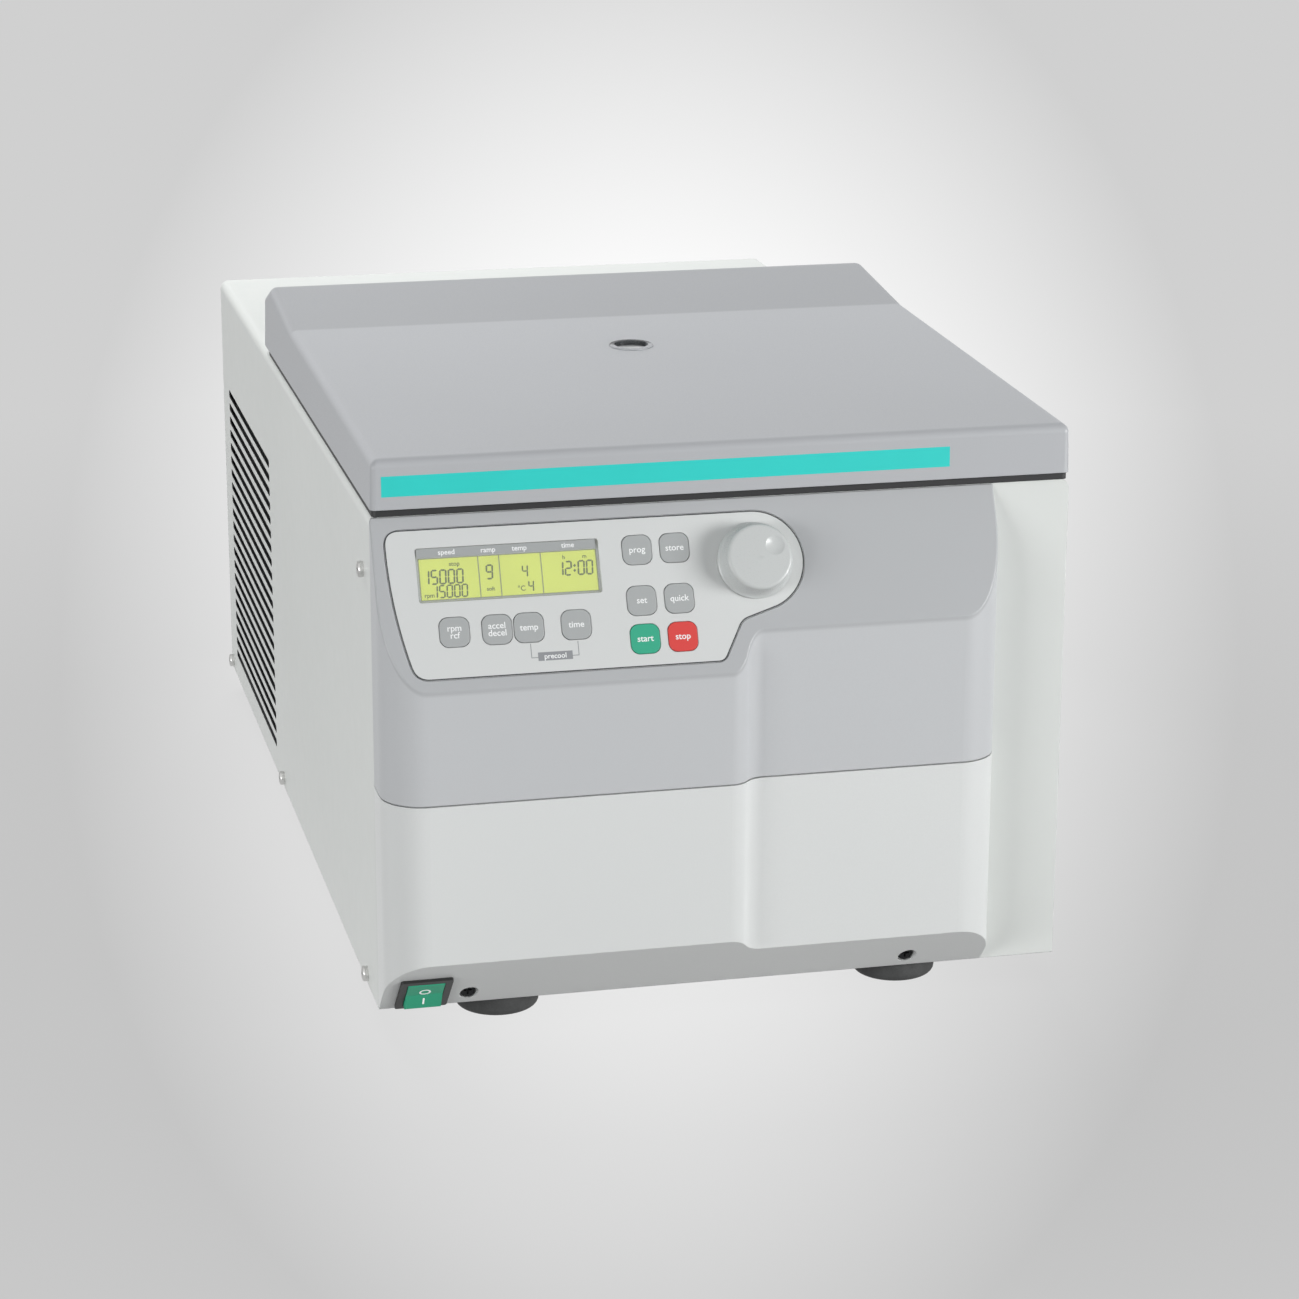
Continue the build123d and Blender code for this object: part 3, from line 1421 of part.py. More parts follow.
def lid_profile(inset):
    """Side view of the lid at a wall inset, with its slow rise, its ramp and its falling back."""
    with BuildSketch() as outline:
        with BuildLine():
            Polyline(
                (lid_front_y, lid_z - 2 * inset),
                (lid_front_y, front_top_z),
                (front_y + lid_crease, crease_z),
                (front_y + lid_ramp_end, peak_z),
                (front_y + lid_fall_back, lid_z + lid_fall_height),
                (lid_rear_y, lid_z + lid_shoulder_height),
                (lid_rear_y, lid_z - 2 * inset),
                close=True,
            )
        make_face()
        if inset > 0:
            offset(amount=-inset, kind=Kind.INTERSECTION)
        for corner, radius in (
            ((front_y + lid_crease, crease_z), lid_crease_round),
            ((front_y + lid_ramp_end, peak_z), 16.0),
            ((front_y + lid_fall_back, lid_z + lid_fall_height), 12.0),
        ):
            fillet(outline.vertices().sort_by_distance(corner)[0], radius - inset)
    return outline.sketch


def lid_plan(inset):
    """Plan of the lid at a wall inset, with tight front corners and rounder rear ones."""
    with BuildSketch(Plane.XY.offset(lid_z)) as outline:
        with Locations((0, lid_middle_y)):
            Rectangle(
                cabinet_width - 2 * lid_margin - 2 * inset, lid_rear_y - lid_front_y - 2 * inset
            )
        fillet(outline.vertices().group_by(Axis.Y)[0], lid_front_corner - inset)
        fillet(outline.vertices().group_by(Axis.Y)[-1], lid_rear_corner - inset)
    return outline.sketch


# Lid shell, hollow from below with bosses down to the stiffener.
lid_tall = 60.0
with BuildPart() as lid_shell:
    with BuildSketch(Plane.YZ):
        add(lid_profile(0))
    extrude(amount=cabinet_width / 2, both=True)
    extrude(lid_plan(0), amount=lid_tall, taper=lid_draft, mode=Mode.INTERSECT)
    top_faces = lid_shell.faces().filter_by(lambda f: f.normal_at(f.center()).Z > 0.3)
    top_edges = ShapeList(
        edge
        for edge in lid_shell.edges()
        if sum(1 for face in top_faces if edge in face.edges()) == 1
    )
    fillet(top_edges, lid_edge_round)
    hollow = extrude(
        Plane.YZ * lid_profile(lid_wall), amount=cabinet_width / 2, both=True, mode=Mode.PRIVATE
    )
    hollow = hollow & extrude(
        lid_plan(lid_wall).moved(Location((0, 0, -lid_wall))),
        amount=lid_tall,
        taper=lid_draft,
        mode=Mode.PRIVATE,
    )
    with BuildSketch(Plane.XY.offset(stiffener_top_z), mode=Mode.PRIVATE) as boss_outline:
        with Locations(*boss_spots):
            Circle(boss_radius)
    hollow = hollow - extrude(boss_outline.sketch, amount=lid_tall, mode=Mode.PRIVATE)
    add(hollow, mode=Mode.SUBTRACT)
    with BuildSketch(port_plane):
        Circle(port_tube / 2 + panel_gap)
    extrude(amount=lid_wall * 2, both=True, mode=Mode.SUBTRACT)
    with BuildSketch(Plane.XY.offset(lid_z)):
        with Locations(*[(x, lid_rear_y) for x in hinge_xs]):
            Rectangle(hinge_centre + 2.0, 3 * lid_wall)
    extrude(amount=stiffener_z - lid_z + panel_gap, mode=Mode.SUBTRACT)
lid_shell.part.label = "lid_shell"
export_step(lid_shell.part, "parts/lid_shell.step")

# Inner liner that closes on the gasket.
liner_gap = 0.4
liner_front_y = lid_front_y + lid_wall + liner_gap
liner_rear_y = front_y + liner_back
liner_half = cabinet_width / 2 - lid_margin - lid_wall - liner_gap
liner_corner = lid_front_corner - lid_wall + liner_gap
port_passage = port_outer + 1.0
with BuildPart() as lid_liner:
    with BuildSketch(Plane.XY.offset(liner_z)):
        with Locations((0, (liner_front_y + liner_rear_y) / 2)):
            RectangleRounded(2 * liner_half, liner_rear_y - liner_front_y, liner_corner)
        with Locations((0, front_y + port_back)):
            Circle(port_passage / 2, mode=Mode.SUBTRACT)
        with Locations(*[(x, striker_y) for x in striker_xs]):
            Rectangle(striker_width + 0.6, striker_thick + 0.6, mode=Mode.SUBTRACT)
    extrude(amount=liner_thick)
lid_liner.part.label = "lid_liner"
export_step(lid_liner.part, "parts/lid_liner.step")

# Steel stiffener plate on the liner, carrying the strikers and the hinge straps.
stiffener_width = 376.0
stiffener_front_y = front_y + 12.0
stiffener_rear_y = front_y + 446.0
with BuildPart() as lid_stiffener:
    with BuildSketch(Plane.XY.offset(stiffener_z)):
        with Locations((0, (stiffener_front_y + stiffener_rear_y) / 2)):
            RectangleRounded(stiffener_width, stiffener_rear_y - stiffener_front_y, 10.0)
        with Locations((0, front_y + port_back)):
            Circle(port_passage / 2, mode=Mode.SUBTRACT)
        with Locations(*[(x, striker_y) for x in striker_xs]):
            Rectangle(striker_width + 0.4, striker_thick + 0.4, mode=Mode.SUBTRACT)
    extrude(amount=stiffener_thick)
lid_stiffener.part.label = "lid_stiffener"
export_step(lid_stiffener.part, "parts/lid_stiffener.step")

# Port bezel, a flanged tube through the lid with a ledge for the window.
port_flange = 1.0
port_length = 25.0
port_ledge_depth = 5.0
window_thick = 3.0
port_bore = 18.0
with BuildPart() as port_bezel:
    with BuildSketch(port_plane):
        Circle(port_outer / 2)
    flange = extrude(amount=port_flange)
    fillet(flange.edges().filter_by(GeomType.CIRCLE).sort_by(Axis.Z)[-1], 0.8)
    with BuildSketch(port_plane):
        Circle(port_tube / 2)
    extrude(amount=-port_length)
    with BuildSketch(port_plane.offset(port_flange)):
        Circle(port_clear / 2)
    extrude(amount=-port_ledge_depth - port_flange, mode=Mode.SUBTRACT)
    with BuildSketch(port_plane):
        Circle(port_bore / 2)
    extrude(amount=-port_length, mode=Mode.SUBTRACT)
port_bezel.part.label = "port_bezel"
export_step(port_bezel.part, "parts/port_bezel.step")

# Round port window on the bezel's ledge.
with BuildPart() as port_window:
    with BuildSketch(port_plane.offset(-port_ledge_depth)):
        Circle(port_clear / 2 - panel_gap)
    extrude(amount=window_thick)
port_window.part.label = "port_window"
export_step(port_window.part, "parts/port_window.step")

# Two strikers that hang from the stiffener, each with an eye for the lock's nose.
striker_low_z = liner_z - striker_reach
eye_z = striker_low_z + 8.0
eye_radius = lock_nose / 2 + 0.7
striker_foot = 12.0
with BuildPart() as lid_strikers:
    for x in striker_xs:
        with BuildSketch(Plane.XZ.offset(-striker_y)) as blade:
            with Locations((x, (striker_low_z + stiffener_top_z) / 2)):
                Rectangle(striker_width, stiffener_top_z - striker_low_z)
            chamfer(blade.vertices().group_by(Axis.Y)[0], 4.0)
            with Locations((x, eye_z)):
                Circle(eye_radius, mode=Mode.SUBTRACT)
        extrude(amount=striker_thick / 2, both=True)
    with BuildSketch(Plane.XY.offset(stiffener_top_z)):
        with Locations(*[(x, striker_y) for x in striker_xs]):
            Rectangle(striker_width + 2 * striker_thick, striker_foot)
    extrude(amount=striker_thick)
lid_strikers.part.label = "lid_strikers"
export_step(lid_strikers.part, "parts/lid_strikers.step")

# Hinge bases on the deck, each with two knuckles on a web.
hinge_plane = Plane(origin=(0, hinge_y, hinge_z), x_dir=(0, 1, 0), z_dir=(1, 0, 0))
knuckle_radius = hinge_knuckle / 2
knuckle_length = (hinge_width - hinge_centre) / 2 - knuckle_gap
base_leaf_depth = 36.0
knuckle_xs = [
    x + side * (hinge_width - knuckle_length) / 2 for x in hinge_xs for side in (-1, 1)
]
with BuildPart() as hinge_bases:
    with BuildSketch(Plane.XY.offset(deck_z)):
        with Locations(*[(x, hinge_y - knuckle_radius + base_leaf_depth / 2) for x in hinge_xs]):
            RectangleRounded(hinge_width, base_leaf_depth, 4.0)
    extrude(amount=hinge_leaf)
    for x in knuckle_xs:
        with BuildSketch(hinge_plane.offset(x)):
            Circle(knuckle_radius)
            with Locations((knuckle_radius / 2, -hinge_rise / 2 + hinge_leaf / 4)):
                Rectangle(knuckle_radius, hinge_rise - hinge_leaf / 2)
        extrude(amount=knuckle_length / 2, both=True)
    with BuildSketch(hinge_plane):
        Circle(hinge_pin / 2 + shaft_play)
    extrude(amount=cabinet_width / 2, both=True, mode=Mode.SUBTRACT)
hinge_bases.part.label = "hinge_bases"
export_step(hinge_bases.part, "parts/hinge_bases.step")

# Hinge pins with riveted heads.
pin_head = 1.2
with BuildPart() as hinge_pins:
    for x in hinge_xs:
        with BuildSketch(hinge_plane.offset(x)):
            Circle(hinge_pin / 2)
        extrude(amount=hinge_width / 2, both=True)
        for side in (-1, 1):
            with BuildSketch(hinge_plane.offset(x + side * hinge_width / 2)):
                Circle(hinge_pin / 2 + 1.0)
            extrude(amount=side * pin_head)
hinge_pins.part.label = "hinge_pins"
export_step(hinge_pins.part, "parts/hinge_pins.step")

# Hinge straps under the stiffener, each with the middle knuckle.
strap_front_y = front_y + 418.0
with BuildPart() as hinge_leaves:
    with BuildSketch(Plane.XY.offset(strap_z)):
        with Locations(*[(x, (strap_front_y + hinge_y) / 2) for x in hinge_xs]):
            Rectangle(hinge_centre, hinge_y - strap_front_y)
    extrude(amount=hinge_leaf)
    for x in hinge_xs:
        with BuildSketch(hinge_plane.offset(x)):
            Circle(knuckle_radius)
        extrude(amount=hinge_centre / 2, both=True)
    with BuildSketch(hinge_plane):
        Circle(hinge_pin / 2 + shaft_play)
    extrude(amount=cabinet_width / 2, both=True, mode=Mode.SUBTRACT)
hinge_leaves.part.label = "hinge_leaves"
export_step(hinge_leaves.part, "parts/hinge_leaves.step")

# Lock rail, a shelf hung under the deck with a tab for the solenoid.
lock_bar_z = eye_z - lock_bar_height / 2
lock_bar_front_y = striker_y + striker_thick / 2 + lock_rest_gap + lock_nose_length
lock_bar_half = striker_spread / 2 + 20.0
rail_thick = 3.0
rail_z = lock_bar_z - running_gap - rail_thick
rail_front_y = striker_y + striker_thick / 2 + 2.0
rail_rear_y = lock_bar_front_y + lock_bar_depth + 10.0
hanger_width = 8.0
hanger_depth = 16.0
tab_width = 40.0
solenoid_front_y = front_y + 7.0
with BuildPart() as lock_rail:
    with BuildSketch(Plane.XY.offset(rail_z)):
        with Locations((0, (rail_front_y + rail_rear_y) / 2)):
            Rectangle(2 * (lock_bar_half + running_gap + hanger_width), rail_rear_y - rail_front_y)
        with Locations((0, (solenoid_front_y + rail_front_y) / 2)):
            Rectangle(tab_width, rail_front_y - solenoid_front_y)
    extrude(amount=rail_thick)
    with BuildSketch(Plane.XY.offset(rail_z)):
        for side in (-1, 1):
            with Locations(
                (
                    side * (lock_bar_half + running_gap + hanger_width / 2),
                    rail_rear_y - hanger_depth / 2,
                )
            ):
                Rectangle(hanger_width, hanger_depth)
    extrude(amount=deck_z - sheet - rail_z)
lock_rail.part.label = "lock_rail"
export_step(lock_rail.part, "parts/lock_rail.step")

# Lock slider, a bar with two noses and the solenoid's plunger.
plunger_radius = 3.0
plunger_length = 22.0
with BuildPart() as lock_slider:
    with BuildSketch(Plane.XZ.offset(-lock_bar_front_y)):
        with Locations((0, eye_z)):
            Rectangle(2 * lock_bar_half, lock_bar_height)
    extrude(amount=-lock_bar_depth)
    with BuildSketch(Plane.XZ.offset(-lock_bar_front_y)):
        with Locations(*[(x, eye_z) for x in striker_xs]):
            Circle(lock_nose / 2)
    noses = extrude(amount=lock_nose_length)
    chamfer(noses.edges().filter_by(GeomType.CIRCLE).group_by(Axis.Y)[0], 1.0)
    with BuildSketch(Plane.XZ.offset(-lock_bar_front_y)):
        with Locations((0, eye_z)):
            Circle(plunger_radius)
    extrude(amount=plunger_length)
lock_slider.part.label = "lock_slider"
export_step(lock_slider.part, "parts/lock_slider.step")

# Lock solenoid on the rail's tab.
solenoid_width = 28.0
solenoid_height = 18.0
solenoid_rear_y = lock_bar_front_y - lock_travel - 2.0
with BuildPart() as lock_solenoid:
    with BuildSketch(Plane.XY.offset(rail_z + rail_thick)):
        with Locations((0, (solenoid_front_y + solenoid_rear_y) / 2)):
            RectangleRounded(solenoid_width, solenoid_rear_y - solenoid_front_y, 2.0)
    extrude(amount=solenoid_height)
    with BuildSketch(Plane.XZ.offset(-solenoid_rear_y)):
        with Locations((0, eye_z)):
            Circle(plunger_radius + shaft_play)
    extrude(amount=solenoid_rear_y - solenoid_front_y - 2.0, mode=Mode.SUBTRACT)
lock_solenoid.part.label = "lock_solenoid"
export_step(lock_solenoid.part, "parts/lock_solenoid.step")
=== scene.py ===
"""Finish of a refrigerated bench centrifuge: materials, printed films, lights and camera."""
import math

import bpy
import numpy as np
from mathutils import Matrix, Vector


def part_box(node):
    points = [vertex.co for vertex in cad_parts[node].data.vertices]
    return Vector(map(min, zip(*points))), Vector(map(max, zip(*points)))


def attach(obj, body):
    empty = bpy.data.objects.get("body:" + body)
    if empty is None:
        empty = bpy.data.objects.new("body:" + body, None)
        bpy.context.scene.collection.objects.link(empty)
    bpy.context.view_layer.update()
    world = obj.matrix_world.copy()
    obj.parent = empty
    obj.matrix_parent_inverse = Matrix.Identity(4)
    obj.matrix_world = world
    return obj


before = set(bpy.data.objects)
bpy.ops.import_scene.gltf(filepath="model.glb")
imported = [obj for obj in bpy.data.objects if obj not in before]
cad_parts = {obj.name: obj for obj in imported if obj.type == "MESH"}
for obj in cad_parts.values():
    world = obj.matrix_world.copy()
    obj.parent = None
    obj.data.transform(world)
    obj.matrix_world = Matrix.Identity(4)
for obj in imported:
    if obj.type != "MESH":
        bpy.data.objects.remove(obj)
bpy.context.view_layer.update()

bl_info = {
    "name": "Bench centrifuge finish",
    "version": (1, 0, 0),
    "blender": (4, 5, 0),
    "location": "3D View > Sidebar > Centrifuge",
    "description": "Materials, printed films, lights and camera for a refrigerated bench centrifuge",
    "category": "Object",
}

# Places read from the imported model, in metres.
FASCIA_LOW, FASCIA_HIGH = (np.array(corner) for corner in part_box("upper_fascia"))
LID_LOW = np.array(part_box("lid_shell")[0])
CABINET_LOW, CABINET_HIGH = (np.array(corner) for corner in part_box("housing_cover"))
BOWL_LOW, BOWL_HIGH = (np.array(corner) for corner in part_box("chamber_bowl"))
FAN_LOW, FAN_HIGH = (np.array(corner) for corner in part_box("condenser_fan"))
BEZEL_LOW, BEZEL_HIGH = (np.array(corner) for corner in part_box("port_bezel"))
LOWER_FASCIA_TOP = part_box("lower_fascia")[1][2]
CHAMBER_CENTRE = tuple((BOWL_LOW + BOWL_HIGH) / 2)
FAN_CENTRE = tuple((FAN_LOW + FAN_HIGH) / 2)
SIDE = float(CABINET_HIGH[0])
FRONT = float(CABINET_LOW[1])
CONSOLE_LEAN = math.radians(25.5)
UNDERCUT_LEAN = math.radians(43.5)
ROCKER_SWING = math.radians(14.0)
LID_DRAFT = math.radians(1.6)
MILLIMETRE = 0.001

# The photograph's frame and its backdrop's oval, in pixels.
FRAME_PIXELS = 1299.0
OVAL_ACROSS, OVAL_UP = 590.0, 787.0
SENSOR_WIDTH = 36.0


class Sheet:
    """A flat reference plane: an origin, an axis across, an axis up the plane and a normal."""

    def __init__(self, origin, across, up):
        self.origin = np.array(origin, dtype=float)
        self.across = np.array(across, dtype=float)
        self.up = np.array(up, dtype=float)
        self.normal = np.cross(self.across, self.up)

    def points(self, flat, height):
        """Carry (n, 2) millimetre points to 3-D: origin + x across + y up + height along the normal."""
        flat = np.asarray(flat, dtype=float) * MILLIMETRE
        height = np.broadcast_to(np.asarray(height, dtype=float) * MILLIMETRE, flat.shape[:-1])
        return (
            self.origin
            + flat[..., 0:1] * self.across
            + flat[..., 1:2] * self.up
            + height[..., None] * self.normal
        )


CONSOLE = Sheet(
    (FASCIA_LOW[0], FASCIA_HIGH[1], FASCIA_HIGH[2]),
    (1, 0, 0),
    (0, math.sin(CONSOLE_LEAN), math.cos(CONSOLE_LEAN)),
)
UNDERCUT = Sheet(
    (CABINET_LOW[0], CABINET_LOW[1], CABINET_LOW[2]),
    (1, 0, 0),
    (0, -math.cos(UNDERCUT_LEAN), math.sin(UNDERCUT_LEAN)),
)
LID_FRONT = Sheet(
    (CABINET_LOW[0], LID_LOW[1], LID_LOW[2]),
    (1, 0, 0),
    (0, math.sin(LID_DRAFT), math.cos(LID_DRAFT)),
)

# Heights over the console plane, in millimetres.
MEMBRANE_TOP = 0.2
KEY_TOP = 0.7
DISPLAY_LEVEL = -1.09
FILM = 0.04


def linear(hex_colour):
    """Turn an sRGB hex colour into linear red, green, blue and an alpha of one."""
    channels = np.array([int(hex_colour[i : i + 2], 16) for i in (1, 3, 5)]) / 255.0
    curved = np.where(channels <= 0.04045, channels / 12.92, ((channels + 0.055) / 1.055) ** 2.4)
    return (*[float(channel) for channel in curved], 1.0)


def colour_property(label, about, hex_colour):
    """A colour setting whose default is a hex value."""
    return bpy.props.FloatVectorProperty(
        name=label,
        description=about,
        default=linear(hex_colour)[:3],
        size=3,
        min=0.0,
        max=1.0,
        subtype="COLOR",
    )


def number_property(label, about, value, unit="NONE"):
    """A setting that is one number: a length in metres, a turn in radians or a plain value."""
    return bpy.props.FloatProperty(name=label, description=about, default=value, unit=unit)


def length_property(label, about, metres):
    """A length setting in metres."""
    return number_property(label, about, metres, "LENGTH")


class CentrifugeColours(bpy.types.PropertyGroup):
    """Colours of the painted, moulded and printed faces."""

    lid_grey: colour_property("Lid", "Grey of the lid moulding", "#B4B6B9")
    fascia_grey: colour_property("Upper fascia", "Grey of the upper fascia moulding", "#C4C6C8")
    console_grey: colour_property("Console face", "Darker grey round the membrane", "#B2B4B6")
    fascia_white: colour_property("Lower fascia", "Off-white of the lower fascia", "#DEE0DF")
    cabinet_grey: colour_property("Cabinet", "Powder coat of the sheet cover", "#DCDFDC")
    membrane_grey: colour_property("Membrane", "Film that carries the keys", "#D4D6D5")
    key_grey: colour_property("Keys", "Grey keys", "#A9ACAC")
    start_green: colour_property("Start key", "Green start key", "#2CA583")
    stop_red: colour_property("Stop key", "Red stop key", "#D63F3B")
    stripe_teal: colour_property("Stripe", "Printed stripe on the lid's front", "#2CCFC7")
    display_green: colour_property("Display", "Lit display behind the window", "#CBD65B")
    display_ink: colour_property("Display digits", "Dark segments of the display", "#4C5A1E")
    rocker_green: colour_property("Rocker", "Mains rocker", "#22A880")
    knob_grey: colour_property("Knob", "Satin grey of the turn knob", "#C6C9C8")
    # Painted shade: the dark seam colour stands for the shadow in the gaps round the membrane and between
    # the fascias.
    seam_shade_grey: colour_property("Seams", "Dark line round the membrane and between the fascias", "#3A3C3E")
    header_grey: colour_property("Display header", "Strip over the display", "#A3A6A6")


class CentrifugeSizes(bpy.types.PropertyGroup):
    """Places and sizes of the printed films."""

    stripe_left: length_property("Stripe left", "From the cabinet's left side", 0.0066)
    stripe_right: length_property("Stripe right", "From the cabinet's left side", 0.3283)
    stripe_low: length_property("Stripe low", "Above the lid's lower edge", 0.0072)
    stripe_high: length_property("Stripe high", "Above the lid's lower edge", 0.0187)
    key_letters: length_property("Key letters", "Height of the words on the keys", 0.0049)
    digit_height: length_property("Digits", "Height of the large display digits", 0.0084)
    small_digit_height: length_property("Small digits", "Height of the lower digits", 0.0074)


class CentrifugeStage(bpy.types.PropertyGroup):
    """Camera and lights."""

    camera_place: bpy.props.FloatVectorProperty(
        name="Camera place",
        description="Where the camera stands",
        default=(-0.4892, -2.2292, 0.8069),
        subtype="TRANSLATION",
        unit="LENGTH",
    )
    camera_turn: number_property("Camera turn", "Turn to the right of +Y", 0.2296, "ROTATION")
    camera_dip: number_property("Camera dip", "Turn below the horizon", 0.2927, "ROTATION")
    camera_roll: number_property("Camera roll", "Roll about the view axis", 0.0024, "ROTATION")
    focal_pixels: number_property("Focal length", "In pixels of the photograph's frame", 3664.0)
    rear_power: number_property("Rear light", "Watts of the soft box above the rear", 120.0)
    left_power: number_property("Left light", "Watts of the low soft box at the left", 44.0)
    right_power: number_property("Right light", "Watts of the low soft box at the right", 76.0)
    sky_strength: number_property("Sky", "Strength of the even surrounding light", 0.32)


def add_node(tree, kind, settings=(), links=()):
    """Add one node, give it properties and input values, and link sockets to its inputs."""
    made = tree.nodes.new(kind)
    for key, value in dict(settings).items():
        if isinstance(key, str) and key[0].islower():
            setattr(made, key, value)
        else:
            made.inputs[key].default_value = value
    for key, socket in dict(links).items():
        tree.links.new(socket, made.inputs[key])
    return made


def maths(tree, operation, first, second=None):
    """One operation on two values, or on one, that come from sockets."""
    links = {0: first} if second is None else {0: first, 1: second}
    return add_node(tree, "ShaderNodeMath", {"operation": operation}, links).outputs[0]


def vector_maths(tree, operation, vector, constant=None, result="Value"):
    """One operation on a vector from a socket, with a constant second vector where it takes one."""
    settings = {"operation": operation}
    if constant is not None:
        settings[1] = tuple(constant)
    return add_node(tree, "ShaderNodeVectorMath", settings, {0: vector}).outputs[result]


def along_axis(tree, vector, axis):
    """One part of a vector: X, Y or Z."""
    return add_node(tree, "ShaderNodeSeparateXYZ", links={0: vector}).outputs[axis]


def start_material(name):
    """An empty node material, its tree and its object coordinates."""
    material = bpy.data.materials.new(name)
    material.use_nodes = True
    tree = material.node_tree
    tree.nodes.clear()
    place = add_node(tree, "ShaderNodeTexCoord").outputs["Object"]
    return material, tree, place


def close_material(tree, shader):
    """Join a shader to the material's output."""
    add_node(tree, "ShaderNodeOutputMaterial", links={"Surface": shader.outputs[0]})


def principled(tree, settings, **sockets):
    """Close a material with a Principled shader; sockets such as base_color name its inputs."""
    links = {name.replace("_", " ").title(): socket for name, socket in sockets.items()}
    close_material(tree, add_node(tree, "ShaderNodeBsdfPrincipled", settings, links))


def rgba(colour):
    """Three or four channels as four."""
    return (*tuple(colour)[:3], 1.0)


def shade(colour, factor):
    """A colour made lighter or darker by a factor."""
    return (*[min(1.0, channel * factor) for channel in tuple(colour)[:3]], 1.0)


def noise(tree, place, size, detail=2.0, rough=0.5):
    """Noise whose grains are about a size in metres."""
    return add_node(
        tree,
        "ShaderNodeTexNoise",
        {"Scale": 1.0 / size, "Detail": detail, "Roughness": rough},
        {"Vector": place},
    ).outputs["Fac"]


def spread(tree, value, low, high, new_low, new_high):
    """Map a value from one range to another, clamped."""
    return add_node(
        tree,
        "ShaderNodeMapRange",
        {"From Min": low, "From Max": high, "To Min": new_low, "To Max": new_high},
        {"Value": value},
    ).outputs["Result"]


def blend_colours(tree, factor, first, second):
    """Mix two colours by a factor; either may be a socket or a plain colour."""
    mix = add_node(tree, "ShaderNodeMix", {"data_type": "RGBA"}, {0: factor})
    for slot, colour in ((6, first), (7, second)):
        if isinstance(colour, bpy.types.NodeSocket):
            tree.links.new(colour, mix.inputs[slot])
        else:
            mix.inputs[slot].default_value = rgba(colour)
    return mix.outputs[2]


def relief(tree, height, distance, strength=1.0, under=None):
    """Bump from a height, over an optional earlier normal."""
    links = {"Height": height}
    if under is not None:
        links["Normal"] = under
    return add_node(
        tree, "ShaderNodeBump", {"Strength": strength, "Distance": distance}, links
    ).outputs["Normal"]


def soft_edges(tree, radius):
    """A normal that rounds every edge by a radius, as a mould or a brake leaves it."""
    return add_node(tree, "ShaderNodeBevel", {"samples": 4, "Radius": radius}).outputs["Normal"]


def edge_wear_and_sheen(tree, radius, low, high):
    """Mask of the edges, for wear and a painted highlight: one where the rounded normal turns away from the
    flat one.
    """
    rounded = soft_edges(tree, radius)
    flat = add_node(tree, "ShaderNodeNewGeometry").outputs["Normal"]
    same = add_node(
        tree, "ShaderNodeVectorMath", {"operation": "DOT_PRODUCT"}, {0: rounded, 1: flat}
    ).outputs["Value"]
    return spread(tree, same, high, low, 0.0, 1.0)


def moulded_abs(name, colour, rough=0.42, grain=0.0007, edge=0.0006, mask=None, other=None):
    """Injection-moulded ABS: fine spark-eroded grain, faint flow clouds, and edges lightened in colour,
    partly as wear and partly as a painted highlight.
    """
    material, tree, place = start_material(name)
    clouds = noise(tree, place, 0.16, 1.0)
    specks = noise(tree, place, grain)
    base = blend_colours(
        tree, spread(tree, clouds, 0.3, 0.7, 0.0, 1.0), shade(colour, 0.99), shade(colour, 1.01)
    )
    base = blend_colours(tree, spread(tree, specks, 0.35, 0.65, 0.0, 0.5), base, shade(colour, 0.97))
    if mask is not None:
        base = blend_colours(tree, mask(tree, place), base, other)
    # Edges lighter in colour: partly wear, partly a painted highlight.
    worn_and_sheen = edge_wear_and_sheen(tree, edge, 0.86, 0.99)
    base = blend_colours(tree, spread(tree, worn_and_sheen, 0.0, 1.0, 0.0, 0.35), base, shade(colour, 1.12))
    roughness = spread(tree, specks, 0.3, 0.7, rough - 0.05, rough + 0.07)
    normal = relief(tree, specks, 0.00004, 0.35, soft_edges(tree, edge))
    principled(tree, {"IOR": 1.53}, base_color=base, roughness=roughness, normal=normal)
    return material


def powder_coat(name, colour, rough=0.38, peel=0.0022, edge=0.0009, mask=None, other=None):
    """Powder-coated sheet steel: orange-peel ripple, a thin even gloss, and edges lightened in colour,
    partly as rubbed wear and partly as a painted highlight.
    """
    material, tree, place = start_material(name)
    ripple = noise(tree, place, peel, 2.0)
    clouds = noise(tree, place, 0.2, 1.0)
    dust = noise(tree, place, 0.012, 6.0, 0.65)
    base = blend_colours(
        tree, spread(tree, clouds, 0.3, 0.7, 0.0, 1.0), shade(colour, 0.985), shade(colour, 1.01)
    )
    base = blend_colours(tree, spread(tree, dust, 0.62, 0.8, 0.0, 0.08), base, shade(colour, 0.9))
    # Edges lighter in colour: partly rubbed wear, partly a painted highlight.
    worn_and_sheen = edge_wear_and_sheen(tree, edge, 0.85, 0.985)
    base = blend_colours(tree, spread(tree, worn_and_sheen, 0.0, 1.0, 0.0, 0.4), base, shade(colour, 1.1))
    if mask is not None:
        base = blend_colours(tree, mask(tree, place), base, other)
    roughness = spread(tree, dust, 0.3, 0.75, rough - 0.03, rough + 0.08)
    normal = relief(tree, ripple, 0.00003, 0.4, soft_edges(tree, edge))
    principled(
        tree,
        {"IOR": 1.5, "Coat Weight": 0.15, "Coat Roughness": 0.2},
        base_color=base,
        roughness=roughness,
        normal=normal,
    )
    return material


# A ring wave of this scale, divided by a pitch in metres, has one ring in each pitch.
RINGS_PER_PITCH = 0.314


